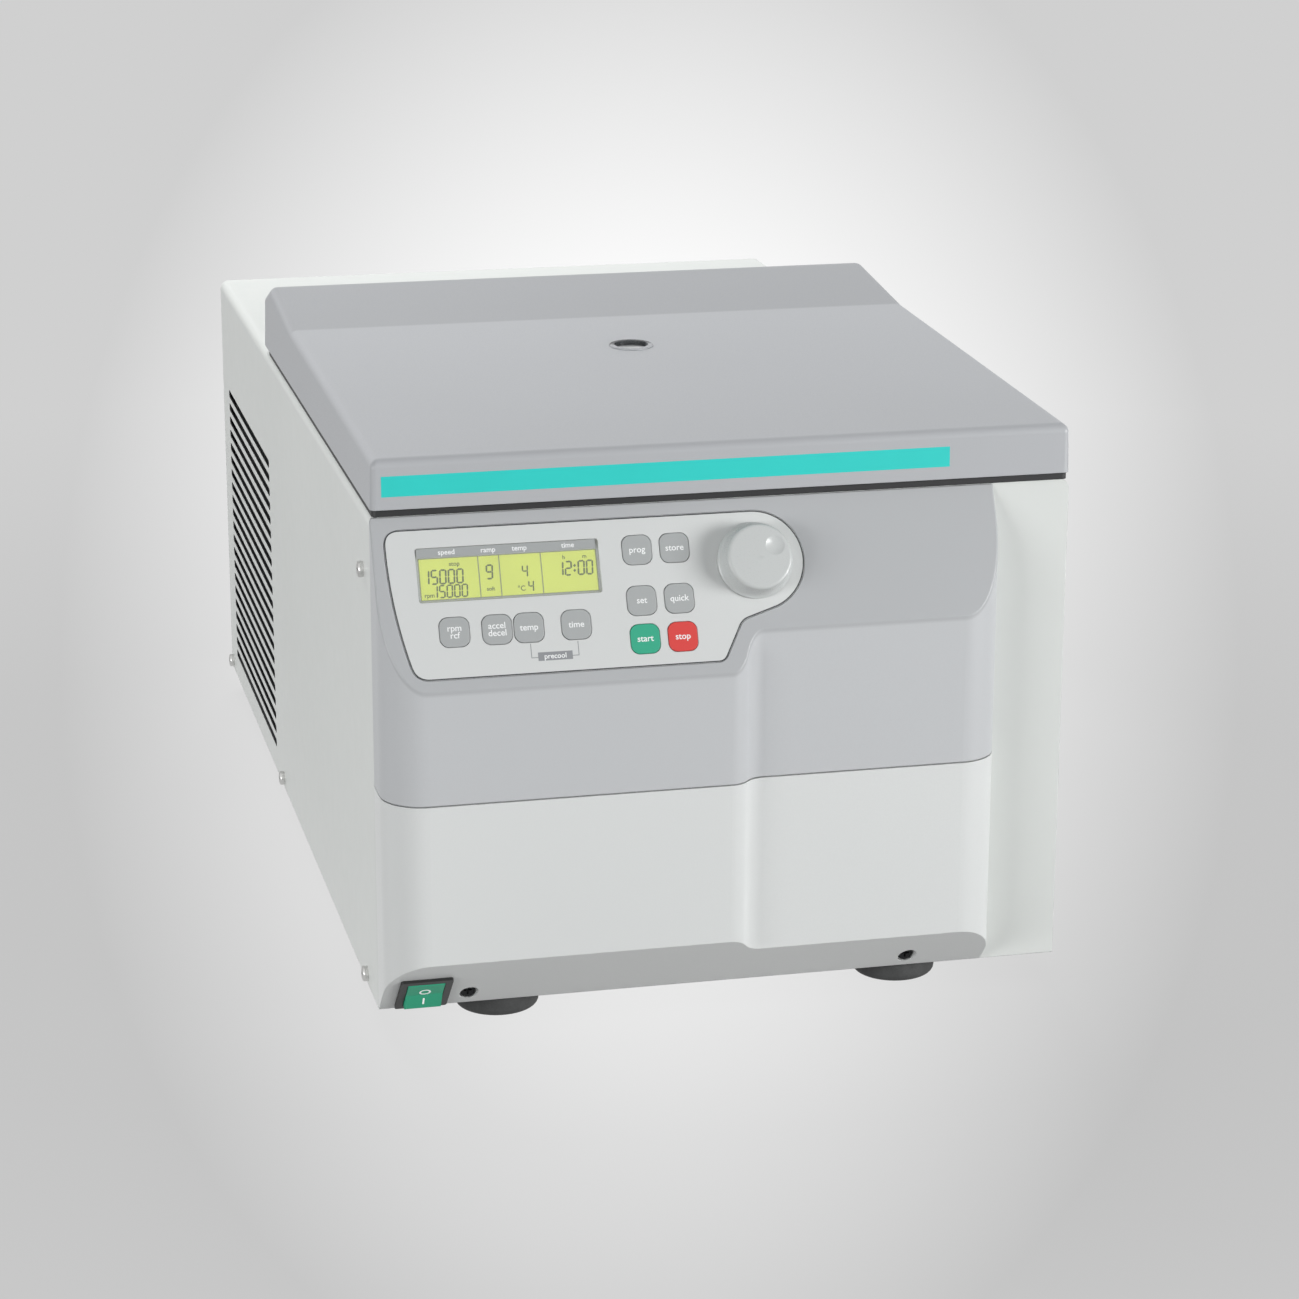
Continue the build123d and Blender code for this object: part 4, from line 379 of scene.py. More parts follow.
def turned_metal(
    name, colour, rough=0.26, centre=(0.0, 0.0, 0.0), axis="Z", pitch=0.0009, mask=None, other=None
):
    """Turned metal: fine rings about the axis of the lathe, a soft sheen and faint handling marks."""
    material, tree, place = start_material(name)
    turn = {"Z": (0, 0, 0), "X": (0, math.pi / 2, 0)}[axis]
    centring = {"Location": tuple(-c for c in centre), "Rotation": turn}
    moved = add_node(tree, "ShaderNodeMapping", centring, {"Vector": place}).outputs["Vector"]
    rings = add_node(
        tree,
        "ShaderNodeTexWave",
        {
            "wave_type": "RINGS",
            "rings_direction": "Z",
            "Scale": RINGS_PER_PITCH / pitch,
            "Distortion": 0.3,
            "Detail": 2.0,
        },
        {"Vector": moved},
    ).outputs["Fac"]
    smears = noise(tree, place, 0.02, 4.0, 0.6)
    light_rings = spread(tree, rings, 0.0, 1.0, 0.3, 0.7)
    base = blend_colours(tree, light_rings, shade(colour, 0.9), shade(colour, 1.08))
    base = blend_colours(tree, spread(tree, smears, 0.55, 0.8, 0.0, 0.25), base, shade(colour, 0.8))
    if mask is not None:
        base = blend_colours(tree, mask(tree, place), base, other)
    roughness = spread(tree, smears, 0.3, 0.75, rough - 0.05, rough + 0.12)
    normal = relief(tree, rings, 0.00002, 0.5, soft_edges(tree, 0.0004))
    principled(
        tree,
        {"Metallic": 1.0, "Anisotropic": 0.4},
        base_color=base,
        roughness=roughness,
        normal=normal,
    )
    return material


def plated_steel(name, colour, rough=0.32, along=(1.0, 12.0, 12.0)):
    """Zinc-plated or brushed steel: short rolling streaks and cloudy plating."""
    material, tree, place = start_material(name)
    stretched = add_node(tree, "ShaderNodeMapping", {"Scale": along}, {"Vector": place}).outputs["Vector"]
    streaks = noise(tree, stretched, 0.004, 3.0)
    clouds = noise(tree, place, 0.015, 5.0, 0.6)
    base = blend_colours(tree, streaks, shade(colour, 0.88), shade(colour, 1.08))
    base = blend_colours(tree, spread(tree, clouds, 0.5, 0.8, 0.0, 0.3), base, shade(colour, 0.78))
    roughness = spread(tree, clouds, 0.3, 0.7, rough - 0.06, rough + 0.14)
    normal = relief(tree, streaks, 0.00002, 0.4, soft_edges(tree, 0.0003))
    principled(tree, {"Metallic": 1.0}, base_color=base, roughness=roughness, normal=normal)
    return material


def moulded_rubber(name, colour, rough=0.72):
    """Moulded rubber: dull black with a fine stipple and a grey bloom of dust."""
    material, tree, place = start_material(name)
    stipple = noise(tree, place, 0.0009, 3.0, 0.6)
    bloom = noise(tree, place, 0.013, 5.0, 0.65)
    base = blend_colours(
        tree, spread(tree, bloom, 0.45, 0.8, 0.0, 0.5), shade(colour, 1.0), shade(colour, 2.2)
    )
    roughness = spread(tree, stipple, 0.3, 0.7, rough - 0.08, rough + 0.1)
    normal = relief(tree, stipple, 0.00008, 0.5, soft_edges(tree, 0.0006))
    principled(tree, {"IOR": 1.52}, base_color=base, roughness=roughness, normal=normal)
    return material


def clear_acrylic(name, colour, alpha):
    """Clear acrylic sheet, smooth and almost uncoloured, with a few faint wipe marks."""
    material, tree, place = start_material(name)
    wipes = noise(tree, place, 0.01, 4.0)
    principled(
        tree,
        {"IOR": 1.49, "Alpha": alpha, "Base Color": rgba(colour)},
        roughness=spread(tree, wipes, 0.3, 0.8, 0.03, 0.12),
    )
    return material


def screen_ink(name, colour, rough=0.5, glow=0.0):
    """Screen-printed ink: flat and opaque, with a faint mesh mark of the screen; a glow above zero is
    painted light.
    """
    material, tree, place = start_material(name)
    mesh_mark = noise(tree, place, 0.0004, 2.0)
    tone = noise(tree, place, 0.03, 2.0)
    base = blend_colours(tree, tone, shade(colour, 0.97), shade(colour, 1.03))
    principled(
        tree,
        {"IOR": 1.5, "Roughness": rough, "Emission Color": rgba(colour), "Emission Strength": glow},
        base_color=base,
        normal=relief(tree, mesh_mark, 0.00001, 0.3),
    )
    return material


def lit_display(name, colour):
    """Back-lit liquid crystal: an even yellow-green glow, a faint pixel weave and a glossy front."""
    material, tree, place = start_material(name)
    glow = noise(tree, place, 0.03, 2.0)
    weave = noise(tree, place, 0.0005, 1.0)
    patches = spread(tree, glow, 0.3, 0.7, 0.0, 1.0)
    base = blend_colours(tree, patches, shade(colour, 0.94), shade(colour, 1.03))
    principled(
        tree,
        {"IOR": 1.5, "Roughness": 0.3, "Emission Color": rgba(colour), "Emission Strength": 0.16},
        base_color=base,
        normal=relief(tree, weave, 0.00001, 0.2),
    )
    return material


def circuit_laminate(name, colour):
    """Glass-epoxy laminate under green solder resist, with the weave showing faintly."""
    material, tree, place = start_material(name)
    weave = add_node(
        tree, "ShaderNodeTexChecker", {"Scale": 1.0 / 0.0008}, {"Vector": place}
    ).outputs["Fac"]
    clouds = noise(tree, place, 0.02, 3.0)
    threads = spread(tree, weave, 0.0, 1.0, 0.4, 0.6)
    base = blend_colours(tree, threads, shade(colour, 0.85), shade(colour, 1.15))
    base = blend_colours(tree, spread(tree, clouds, 0.4, 0.7, 0.0, 0.3), base, shade(colour, 0.7))
    principled(
        tree,
        {"IOR": 1.55, "Roughness": 0.28},
        base_color=base,
        normal=relief(tree, weave, 0.00001, 0.3),
    )
    return material


def cell_foam(name, colour):
    """Closed-cell insulating foam: small bubbles and a yellowed skin."""
    material, tree, place = start_material(name)
    cells = add_node(
        tree, "ShaderNodeTexVoronoi", {"Scale": 1.0 / 0.0025}, {"Vector": place}
    ).outputs["Distance"]
    stains = noise(tree, place, 0.05, 4.0)
    base = blend_colours(tree, stains, shade(colour, 0.85), shade(colour, 1.05))
    principled(
        tree,
        {"IOR": 1.4, "Roughness": 0.85},
        base_color=base,
        normal=relief(tree, cells, 0.0004, 0.6),
    )
    return material


def product(tree, *factors):
    """Multiply values together."""
    whole = factors[0]
    for factor in factors[1:]:
        whole = maths(tree, "MULTIPLY", whole, factor)
    return whole


def console_mask(tree, place):
    """One on the leaning console face, zero on the upright walls: distance to the console plane."""
    off = float(np.dot(CONSOLE.origin, CONSOLE.normal))
    reach = vector_maths(tree, "DOT_PRODUCT", place, CONSOLE.normal)
    return spread(tree, reach, off - 0.0014, off - 0.0006, 0.0, 1.0)


def above_mask(level):
    """Make a mask that is one over a height, in metres: the top faces of a wall."""

    def mask(tree, place):
        return spread(tree, along_axis(tree, place, "Z"), level, level + 0.0001, 0.0, 1.0)

    return mask


# The lid's top creases this far behind the cabinet's front and slopes up from there.
LID_CREASE = FRONT + 0.320


def ramp_shade_mask(tree, place):
    """Painted shade: one on the upward faces of the lid's rear ramp, zero in front of its crease and on its
    sides.
    """
    back = along_axis(tree, place, "Y")
    facing = add_node(tree, "ShaderNodeTexCoord").outputs["Normal"]
    upward = along_axis(tree, facing, "Z")
    return product(
        tree,
        spread(tree, back, LID_CREASE - 0.002, LID_CREASE + 0.002, 0.0, 1.0),
        spread(tree, upward, 0.6, 0.9, 0.0, 1.0),
    )


def bore_shadow_mask(tree, place):
    """One on the rear half of the port's ring, zero on its front half."""
    middle = float(BEZEL_LOW[1] + BEZEL_HIGH[1]) / 2
    return spread(tree, along_axis(tree, place, "Y"), middle - 0.002, middle + 0.004, 0.0, 1.0)


# The side louvres: how far behind the front they start, their top, and how thick the sheet is.
LOUVRES_BACK = 0.40
LOUVRES_TOP = 0.250
SHEET_REACH = 0.006


def louvre_shade_mask(tree, place):
    """Painted shade: one on the cut edges of the side louvres, just inside either side face, among the
    slots, so the slots read dark.
    """
    aside = maths(tree, "ABSOLUTE", along_axis(tree, place, "X"))
    start = FRONT + LOUVRES_BACK
    return product(
        tree,
        spread(tree, aside, SIDE - 0.00012, SIDE - 0.00004, 1.0, 0.0),
        spread(tree, aside, SIDE - SHEET_REACH, SIDE - SHEET_REACH + 0.002, 0.0, 1.0),
        spread(tree, along_axis(tree, place, "Y"), start, start + 0.01, 0.0, 1.0),
        spread(tree, along_axis(tree, place, "Z"), LOUVRES_TOP, LOUVRES_TOP + 0.005, 1.0, 0.0),
    )


# The screws in the undercut's wells stand this near the middle and the front.
WELLS_ASIDE = 0.190
WELLS_BACK = 0.04


def well_shade_mask(tree, place):
    """Painted shade: one on the screws that sit in the two wells of the undercut, which are darkened as if
    in shadow.
    """
    aside = maths(tree, "ABSOLUTE", along_axis(tree, place, "X"))
    end = FRONT + WELLS_BACK
    return product(
        tree,
        spread(tree, aside, WELLS_ASIDE, WELLS_ASIDE + 0.004, 1.0, 0.0),
        spread(tree, along_axis(tree, place, "Y"), end, end + 0.01, 1.0, 0.0),
    )


def paint(material, *nodes):
    """Give CAD nodes a material in every slot."""
    for name in nodes:
        body = bpy.data.objects[name]
        if not body.material_slots:
            body.data.materials.append(material)
        for slot in body.material_slots:
            slot.material = material


def prisms(name, outlines, plane, low, high):
    """Closed flat films: K outlines of N points each, swept from one height to another."""
    outlines = np.asarray(outlines, dtype=float)
    count, corners = outlines.shape[:2]
    points = np.stack([plane.points(outlines, low), plane.points(outlines, high)], axis=1)
    index = np.arange(count * 2 * corners).reshape(count, 2, corners)
    following = np.roll(index, -1, axis=2)
    sides = np.stack([index[:, 0], following[:, 0], following[:, 1], index[:, 1]], axis=-1)
    faces = index[:, 1].tolist() + index[:, 0, ::-1].tolist() + sides.reshape(-1, 4).tolist()
    mesh = bpy.data.meshes.new(name)
    mesh.from_pydata(points.reshape(-1, 3).tolist(), [], faces)
    mesh.update()
    made = bpy.data.objects.new(name, mesh)
    bpy.context.scene.collection.objects.link(made)
    return made


def rectangle(middle, width, height):
    """Four corners of a rectangle, counter-clockwise."""
    signs = np.array([(1, 1), (-1, 1), (-1, -1), (1, -1)]) / 2
    return signs * np.array([width, height]) + np.array(middle)


def ring_outlines(middle, outer, inner, steps=32):
    """A ring as a run of four-cornered pieces between two circles."""
    turn = np.linspace(0.0, 2 * math.pi, steps + 1)
    circle = np.stack([np.cos(turn), np.sin(turn)], axis=-1)
    wide = circle * outer + np.array(middle)
    tight = circle * inner + np.array(middle)
    return np.stack([wide[:-1], wide[1:], tight[1:], tight[:-1]], axis=1)


def arc_through(start, middle, end, steps=24):
    """Points of the circle arc through three points, the end left out: centre, radius and turn."""
    first, second, third = (complex(*point) for point in (start, middle, end))
    ratio = (third - first) / (second - first)
    centre = (second - first) * (ratio - abs(ratio) ** 2) / (2j * ratio.imag) + first
    turn = np.angle((third - centre) / (first - centre))
    half = np.angle((second - centre) / (first - centre))
    if turn * half < 0 or abs(half) > abs(turn):
        turn -= math.copysign(2 * math.pi, turn)
    swept = centre + (first - centre) * np.exp(1j * turn * np.linspace(0.0, 1.0, steps + 1)[:-1])
    return np.stack([swept.real, swept.imag], axis=-1)


def rounded_loop(path, corners, samples=480):
    """A closed path evenly sampled by length, with each named corner drawn over by a parabola.

    Within a reach of a corner the point is (1-t)^2 A + 2t(1-t) C + t^2 B, where A and B lie on
    the path at that reach before and after the corner C, and t runs from zero to one.
    """
    closed = np.concatenate([path, path[:1]])
    lengths = np.concatenate([[0.0], np.cumsum(np.linalg.norm(np.diff(closed, axis=0), axis=1))])
    whole = lengths[-1]

    def at(distance):
        wrapped = np.mod(distance, whole)
        return np.stack([np.interp(wrapped, lengths, closed[:, axis]) for axis in (0, 1)], axis=-1)

    along = np.linspace(0.0, whole, samples, endpoint=False)
    loop = at(along)
    for corner, reach in corners:
        place = lengths[np.argmin(np.linalg.norm(path - np.array(corner), axis=1))]
        offset = np.mod(along - place + whole / 2, whole) - whole / 2
        t = np.clip((offset + reach) / (2 * reach), 0.0, 1.0)[:, None]
        before, after = at(np.array(place - reach)), at(np.array(place + reach))
        curve = (1 - t) ** 2 * before + 2 * t * (1 - t) * np.array(corner) + t**2 * after
        loop = np.where(np.abs(offset)[:, None] < reach, curve, loop)
    return loop


def inner_band(loop, outer, inner):
    """Four-cornered pieces between two offsets of a counter-clockwise loop, along its normals."""
    tangent = np.roll(loop, -1, axis=0) - np.roll(loop, 1, axis=0)
    tangent /= np.linalg.norm(tangent, axis=1, keepdims=True)
    inward = np.stack([-tangent[:, 1], tangent[:, 0]], axis=-1)
    wide, tight = loop + inward * outer, loop + inward * inner
    return np.stack([wide, np.roll(wide, -1, axis=0), np.roll(tight, -1, axis=0), tight], axis=1)


def finish_piece(piece, material, body):
    """Give a new piece its material, in a slot of its own, and its body."""
    piece.data.materials.clear()
    piece.data.materials.append(material)
    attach(piece, body)
    return piece


def lay_film(name, outlines, level, material, thickness=FILM):
    """Lay flat films on the console plane at a height in millimetres, as part of the cabinet."""
    piece = prisms(name, outlines, CONSOLE, level, level + thickness)
    return finish_piece(piece, material, "cabinet")


# Seven-segment shapes, one long bar each, as (middle x, middle y, upright) in digit widths.
SEGMENTS = {
    "a": (0.0, 1.0, False),
    "b": (0.5, 0.5, True),
    "c": (0.5, -0.5, True),
    "d": (0.0, -1.0, False),
    "e": (-0.5, -0.5, True),
    "f": (-0.5, 0.5, True),
    "g": (0.0, 0.0, False),
}
LIT = {
    "0": "abcdef",
    "1": "bc",
    "2": "abged",
    "4": "fgbc",
    "5": "afgcd",
    "9": "abcdfg",
}


# Digit proportions: width, step and bar thickness over the height, and each bar's share of its side.
DIGIT_WIDTH, DIGIT_PITCH, BAR_THICKNESS, BAR_SHARE = 0.38, 0.56, 0.115, 0.9
# The colon's shift and step over the digits' step, and its dots' height over half a digit's.
COLON_SHIFT, COLON_STEP, COLON_RISE = 0.22, 0.75, 0.32


def digit_outlines(text, right, low, height, lean=0.06):
    """Outlines of seven-segment digits: each bar is a hexagon, placed by its segment's middle."""
    width = height * DIGIT_WIDTH
    pitch = height * DIGIT_PITCH
    thick = height * BAR_THICKNESS
    half = height / 2
    bars = []
    cursor = right - width / 2
    for mark in reversed(text):
        if mark == ":":
            cursor += pitch * COLON_SHIFT
            for level in (COLON_RISE, -COLON_RISE):
                bars.append((cursor, half * level, thick * 1.9, thick * 1.5, True))
            cursor -= pitch * COLON_STEP
            continue
        for segment in LIT[mark]:
            x, y, upright = SEGMENTS[segment]
            length = (half if upright else width) * BAR_SHARE
            bars.append((cursor + x * width, y * (half - thick / 2), length, thick, upright))
        cursor -= pitch
    bars = np.array([(x, y, long, wide, float(up)) for x, y, long, wide, up in bars])
    long, wide, upright = bars[:, 2] / 2, bars[:, 3] / 2, bars[:, 4][:, None] > 0.5
    along = np.stack([long, long - wide, wide - long, -long, wide - long, long - wide], axis=1)
    aside = np.stack([0 * wide, wide, wide, 0 * wide, -wide, -wide], axis=1)
    x = np.where(upright, -aside, along) + bars[:, 0:1]
    y = np.where(upright, along, aside) + bars[:, 1:2]
    x = x + lean * y
    return np.stack([x, y + low + half], axis=-1)


def lettering(name, words, height, plane, middle, level, bold=0.00006):
    """Printed words: a text curve made a mesh, then carried to its plane."""
    curve = bpy.data.curves.new(name, "FONT")
    curve.body = words
    curve.size = height
    curve.align_x = "CENTER"
    curve.align_y = "CENTER"
    curve.space_line = 0.82
    curve.offset = bold
    curve.extrude = FILM * MILLIMETRE / 2
    curve.resolution_u = 4
    carrier = bpy.data.objects.new(name + "_curve", curve)
    bpy.context.scene.collection.objects.link(carrier)
    mesh = bpy.data.meshes.new_from_object(carrier)
    bpy.data.objects.remove(carrier)
    bpy.data.curves.remove(curve)
    mesh.name = name
    flat = np.empty(len(mesh.vertices) * 3)
    mesh.vertices.foreach_get("co", flat)
    flat = flat.reshape(-1, 3)
    carried = plane.points(
        flat[:, :2] / MILLIMETRE + np.array(middle), flat[:, 2] / MILLIMETRE + level + FILM / 2
    )
    mesh.vertices.foreach_set("co", carried.ravel())
    mesh.update()
    made = bpy.data.objects.new(name, mesh)
    bpy.context.scene.collection.objects.link(made)
    return made


# Keys by node: place across and down the console, and the generic word printed on each.
KEYS = {
    "key_lid": (41.2, 65.4, "rpm\nrcf"),
    "key_ramp": (64.7, 65.4, "accel\ndecel"),
    "key_temperature": (82.35, 65.4, "temp"),
    "key_time": (108.7, 65.4, "time"),
    "key_program": (146.4, 26.1, "prog"),
    "key_save": (167.6, 26.1, "store"),
    "key_select": (146.4, 54.4, "set"),
    "key_short_run": (167.6, 54.4, "quick"),
    "key_start": (146.4, 75.7, "start"),
    "key_stop": (167.6, 75.7, "stop"),
}


class CENTRIFUGE_OT_housing(bpy.types.Operator):
    """Finish the cabinet: powder-coated cover and rear panel, pan, feet, screws and inlet."""

    bl_idname = "centrifuge.housing"
    bl_label = "Finish the housing"

    def execute(self, context):
        colours = context.scene.centrifuge_colours
        # The cover's louvre edges are painted near-black: painted shade inside the slots.
        paint(
            powder_coat(
                "powder_coat_light", colours.cabinet_grey, mask=louvre_shade_mask, other=linear("#1C1D1E")
            ),
            "housing_cover",
        )
        paint(powder_coat("powder_coat_rear", colours.cabinet_grey), "rear_panel")
        paint(powder_coat("powder_coat_pan", linear("#4A4C4E")), "base_pan")
        paint(moulded_rubber("nitrile_rubber_feet", linear("#3A3B3B")), "feet")
        paint(plated_steel("zinc_plated_posts", linear("#B9BAB7")), "foot_studs", "corner_posts")
        # The screws in the undercut's wells are painted dark: painted shade.
        paint(
            turned_metal(
                "stainless_pan_screws", linear("#CFCFCD"), 0.3, mask=well_shade_mask, other=linear("#2E2F30")
            ),
            "panel_screws",
        )
        paint(moulded_abs("polyamide_inlet", linear("#232323"), 0.5), "power_inlet")
        return {"FINISHED"}


class CENTRIFUGE_OT_fascia(bpy.types.Operator):
    """Finish the two fascia mouldings, the darker console face and the membrane."""

    bl_idname = "centrifuge.fascia"
    bl_label = "Finish the fascia"

    def execute(self, context):
        colours = context.scene.centrifuge_colours
        paint(
            moulded_abs(
                "moulded_abs_grey",
                colours.fascia_grey,
                mask=console_mask,
                other=colours.console_grey,
            ),
            "upper_fascia",
        )
        # The lower fascia's top faces, inside the seam, get the seam colour: painted shade of the gap.
        paint(
            moulded_abs(
                "moulded_abs_white",
                colours.fascia_white,
                0.33,
                mask=above_mask(LOWER_FASCIA_TOP - 0.0004),
                other=colours.seam_shade_grey,
            ),
            "lower_fascia",
        )
        paint(
            moulded_abs("polyester_membrane", colours.membrane_grey, 0.5, 0.0005, 0.0002),
            "control_membrane",
        )
        return {"FINISHED"}


class CENTRIFUGE_OT_lid(bpy.types.Operator):
    """Finish the lid, its liner, port, strikers and hinges."""

    bl_idname = "centrifuge.lid"
    bl_label = "Finish the lid"

    def execute(self, context):
        colours = context.scene.centrifuge_colours
        # The lid's rear ramp gets a darker grey: painted shade where it tilts away from the light.
        paint(
            moulded_abs(
                "moulded_abs_lid", colours.lid_grey, 0.4, mask=ramp_shade_mask, other=shade(colours.lid_grey, 0.83)
            ),
            "lid_shell",
        )
        paint(moulded_abs("moulded_abs_liner", linear("#DADCDC"), 0.45), "lid_liner")
        paint(plated_steel("zinc_plated_plate", linear("#B5B7B6")), "lid_stiffener", "lid_strikers")
        paint(
            moulded_abs(
                "polished_abs_bezel",
                linear("#B0B2B5"),
                0.25,
                edge=0.0003,
                mask=bore_shadow_mask,
                other=linear("#3E4042"),
            ),
            "port_bezel",
        )
        paint(clear_acrylic("clear_acrylic_port", linear("#FBFCFC"), 0.86), "port_window")
        paint(
            plated_steel("satin_steel_hinges", linear("#A9AAAA"), 0.28),
            "hinge_bases",
            "hinge_pins",
            "hinge_leaves",
        )
        return {"FINISHED"}


class CENTRIFUGE_OT_stripe(bpy.types.Operator):
    """Lay the printed stripe on the lid's front: a film on the drafted front plane."""

    bl_idname = "centrifuge.stripe"
    bl_label = "Lay the lid's stripe"

    def execute(self, context):
        sizes = context.scene.centrifuge_sizes
        left, right = sizes.stripe_left / MILLIMETRE, sizes.stripe_right / MILLIMETRE
        low, high = sizes.stripe_low / MILLIMETRE, sizes.stripe_high / MILLIMETRE
        outline = rectangle(((left + right) / 2, (low + high) / 2), right - left, high - low)
        stripe = prisms("lid_stripe", [outline], LID_FRONT, -FILM, FILM)
        ink = screen_ink("screen_ink_teal", context.scene.centrifuge_colours.stripe_teal, 0.42)
        finish_piece(stripe, ink, "lid")
        return {"FINISHED"}


class CENTRIFUGE_OT_controls(bpy.types.Operator):
    """Finish the knob, keys, encoder, board and mains switch."""

    bl_idname = "centrifuge.controls"
    bl_label = "Finish the controls"

    def execute(self, context):
        colours = context.scene.centrifuge_colours
        grey = moulded_abs("silicone_keys_grey", colours.key_grey, 0.5, 0.0004, 0.0003)
        paint(grey, *[name for name in KEYS if name not in ("key_start", "key_stop")])
        paint(moulded_abs("silicone_key_green", colours.start_green, 0.5, 0.0004, 0.0003), "key_start")
        paint(moulded_abs("silicone_key_red", colours.stop_red, 0.5, 0.0004, 0.0003), "key_stop")
        paint(moulded_abs("moulded_abs_knob", colours.knob_grey, 0.3, 0.0005, 0.0005), "control_knob")
        paint(circuit_laminate("glass_epoxy_board", linear("#1E6B3C")), "control_board")
        paint(plated_steel("nickel_plated_encoder", linear("#B0B0AE")), "encoder_body", "encoder_shaft")
        paint(moulded_abs("polyamide_switch", linear("#0F1010"), 0.5, 0.0004, 0.0003), "switch_frame")
        paint(
            moulded_abs("polycarbonate_rocker", colours.rocker_green, 0.5, 0.0004, 0.0003),
            "switch_rocker",
        )
        return {"FINISHED"}


# The display's digits: text, right end, lower edge, whether small, and a share of that height.
DISPLAY_ROWS = (
    ("15000", 48.8, -38.6, False, 1.0),
    ("15000", 50.6, -46.2, True, 1.0),
    ("9", 65.2, -37.4, False, 1.0),
    ("4", 84.6, -37.4, True, 0.95),
    ("4", 87.2, -45.6, True, 0.88),
    ("12:00", 121.0, -38.0, False, 1.0),
)
# Its small words: name, text, middle in millimetres and letter height in metres.
DISPLAY_WORDS = (
    ("display_word_rpm", "rpm", (29.6, -44.4), 0.0034),
    ("display_word_stop", "stop", (44.6, -27.6), 0.0034),
    ("display_word_mode", "soft", (63.6, -42.6), 0.0030),
    ("display_word_degree", "°C", (80.6, -43.4), 0.0040),
    ("display_word_hours", "h", (105.4, -27.6), 0.0032),
    ("display_word_minutes", "m", (117.0, -27.6), 0.0032),
)
# Lines between its cells, the strip over it and the words on the strip, by their middles.
CELL_LINES_ACROSS = (57.8, 69.4, 92.6, 24.9, 123.5)
CELL_LINES_UP = (-24.1, -46.95)
HEADER_STRIP = rectangle((73.6, -21.1), 99.4, 4.7)
HEADER_WORDS = {"speed": 40.6, "ramp": 63.6, "temp": 81.0, "time": 108.0}
# Letters printed over a strip or a plate: their height in metres and their level in millimetres.
PLATE_LETTERS = 0.0040
PRINT_LEVEL = MEMBRANE_TOP + FILM


class CENTRIFUGE_OT_display(bpy.types.Operator):
    """Dress the display: lit face, cell lines, seven-segment digits, header strip and its words."""

    bl_idname = "centrifuge.display"
    bl_label = "Dress the display"

    def execute(self, context):
        colours = context.scene.centrifuge_colours
        sizes = context.scene.centrifuge_sizes
        paint(lit_display("lit_crystal_display", colours.display_green), "display_module")
        paint(clear_acrylic("clear_acrylic_window", linear("#F2F6E8"), 0.1), "display_window")
        ink = screen_ink("display_segments", colours.display_ink, 0.4)
        tall = sizes.digit_height / MILLIMETRE
        small = sizes.small_digit_height / MILLIMETRE
        rows = [
            digit_outlines(digits, right, low, (small if is_small else tall) * share)
            for digits, right, low, is_small, share in DISPLAY_ROWS
        ]
        lay_film("display_digits", np.concatenate(rows), DISPLAY_LEVEL, ink)
        lines = [rectangle((across, -35.5), 0.7, 23.2) for across in CELL_LINES_ACROSS]
        lines += [rectangle((74.2, up), 98.4, 0.5) for up in CELL_LINES_UP]
        line_ink = screen_ink("display_cell_lines", linear("#8C9468"), 0.5)
        lay_film("display_cells", lines, DISPLAY_LEVEL, line_ink, FILM / 2)
        for name, words, place, height in DISPLAY_WORDS:
            word = lettering(name, words, height, CONSOLE, place, DISPLAY_LEVEL)
            finish_piece(word, ink, "cabinet")
        header_ink = screen_ink("screen_ink_header", colours.header_grey, 0.45)
        lay_film("display_header", [HEADER_STRIP], MEMBRANE_TOP, header_ink)
        white = screen_ink("screen_ink_white", linear("#F3F4F4"), 0.5)
        for words, across in HEADER_WORDS.items():
            place = (across, -21.2)
            word = lettering("header_" + words, words, PLATE_LETTERS, CONSOLE, place, PRINT_LEVEL)
            finish_piece(word, white, "cabinet")
        return {"FINISHED"}


# The plate under the lower keys, its word's middle, and the thin lines that join it to two keys.
LABEL_PLATE = rectangle((95.6, -81.8), 19.2, 4.7)
LABEL_WORD = (95.6, -81.9)
LABEL_LINES = [
    rectangle((82.4, -78.4), 0.4, 8.0),
    rectangle((84.2, -82.2), 3.6, 0.4),
    rectangle((108.7, -78.4), 0.4, 8.0),
    rectangle((107.0, -82.2), 3.6, 0.4),
]


class CENTRIFUGE_OT_prints(bpy.types.Operator):
    """Print the words on the keys and the label that joins two of them."""

    bl_idname = "centrifuge.prints"
    bl_label = "Print the keys"

    def execute(self, context):
        sizes = context.scene.centrifuge_sizes
        white = screen_ink("screen_ink_key_white", linear("#F4F5F5"), 0.5)
        for key, (across, down, words) in KEYS.items():
            print_name = key.replace("key_", "word_")
            piece = lettering(print_name, words, sizes.key_letters, CONSOLE, (across, -down), KEY_TOP)
            finish_piece(piece, white, key)
        grey = screen_ink("screen_ink_grey", linear("#8F9194"), 0.5)
        lay_film("label_plate", [LABEL_PLATE], MEMBRANE_TOP, grey)
        lay_film("label_lines", LABEL_LINES, MEMBRANE_TOP, grey)
        word = lettering("label_word", "precool", PLATE_LETTERS, CONSOLE, LABEL_WORD, PRINT_LEVEL)
        finish_piece(word, white, "cabinet")
        return {"FINISHED"}


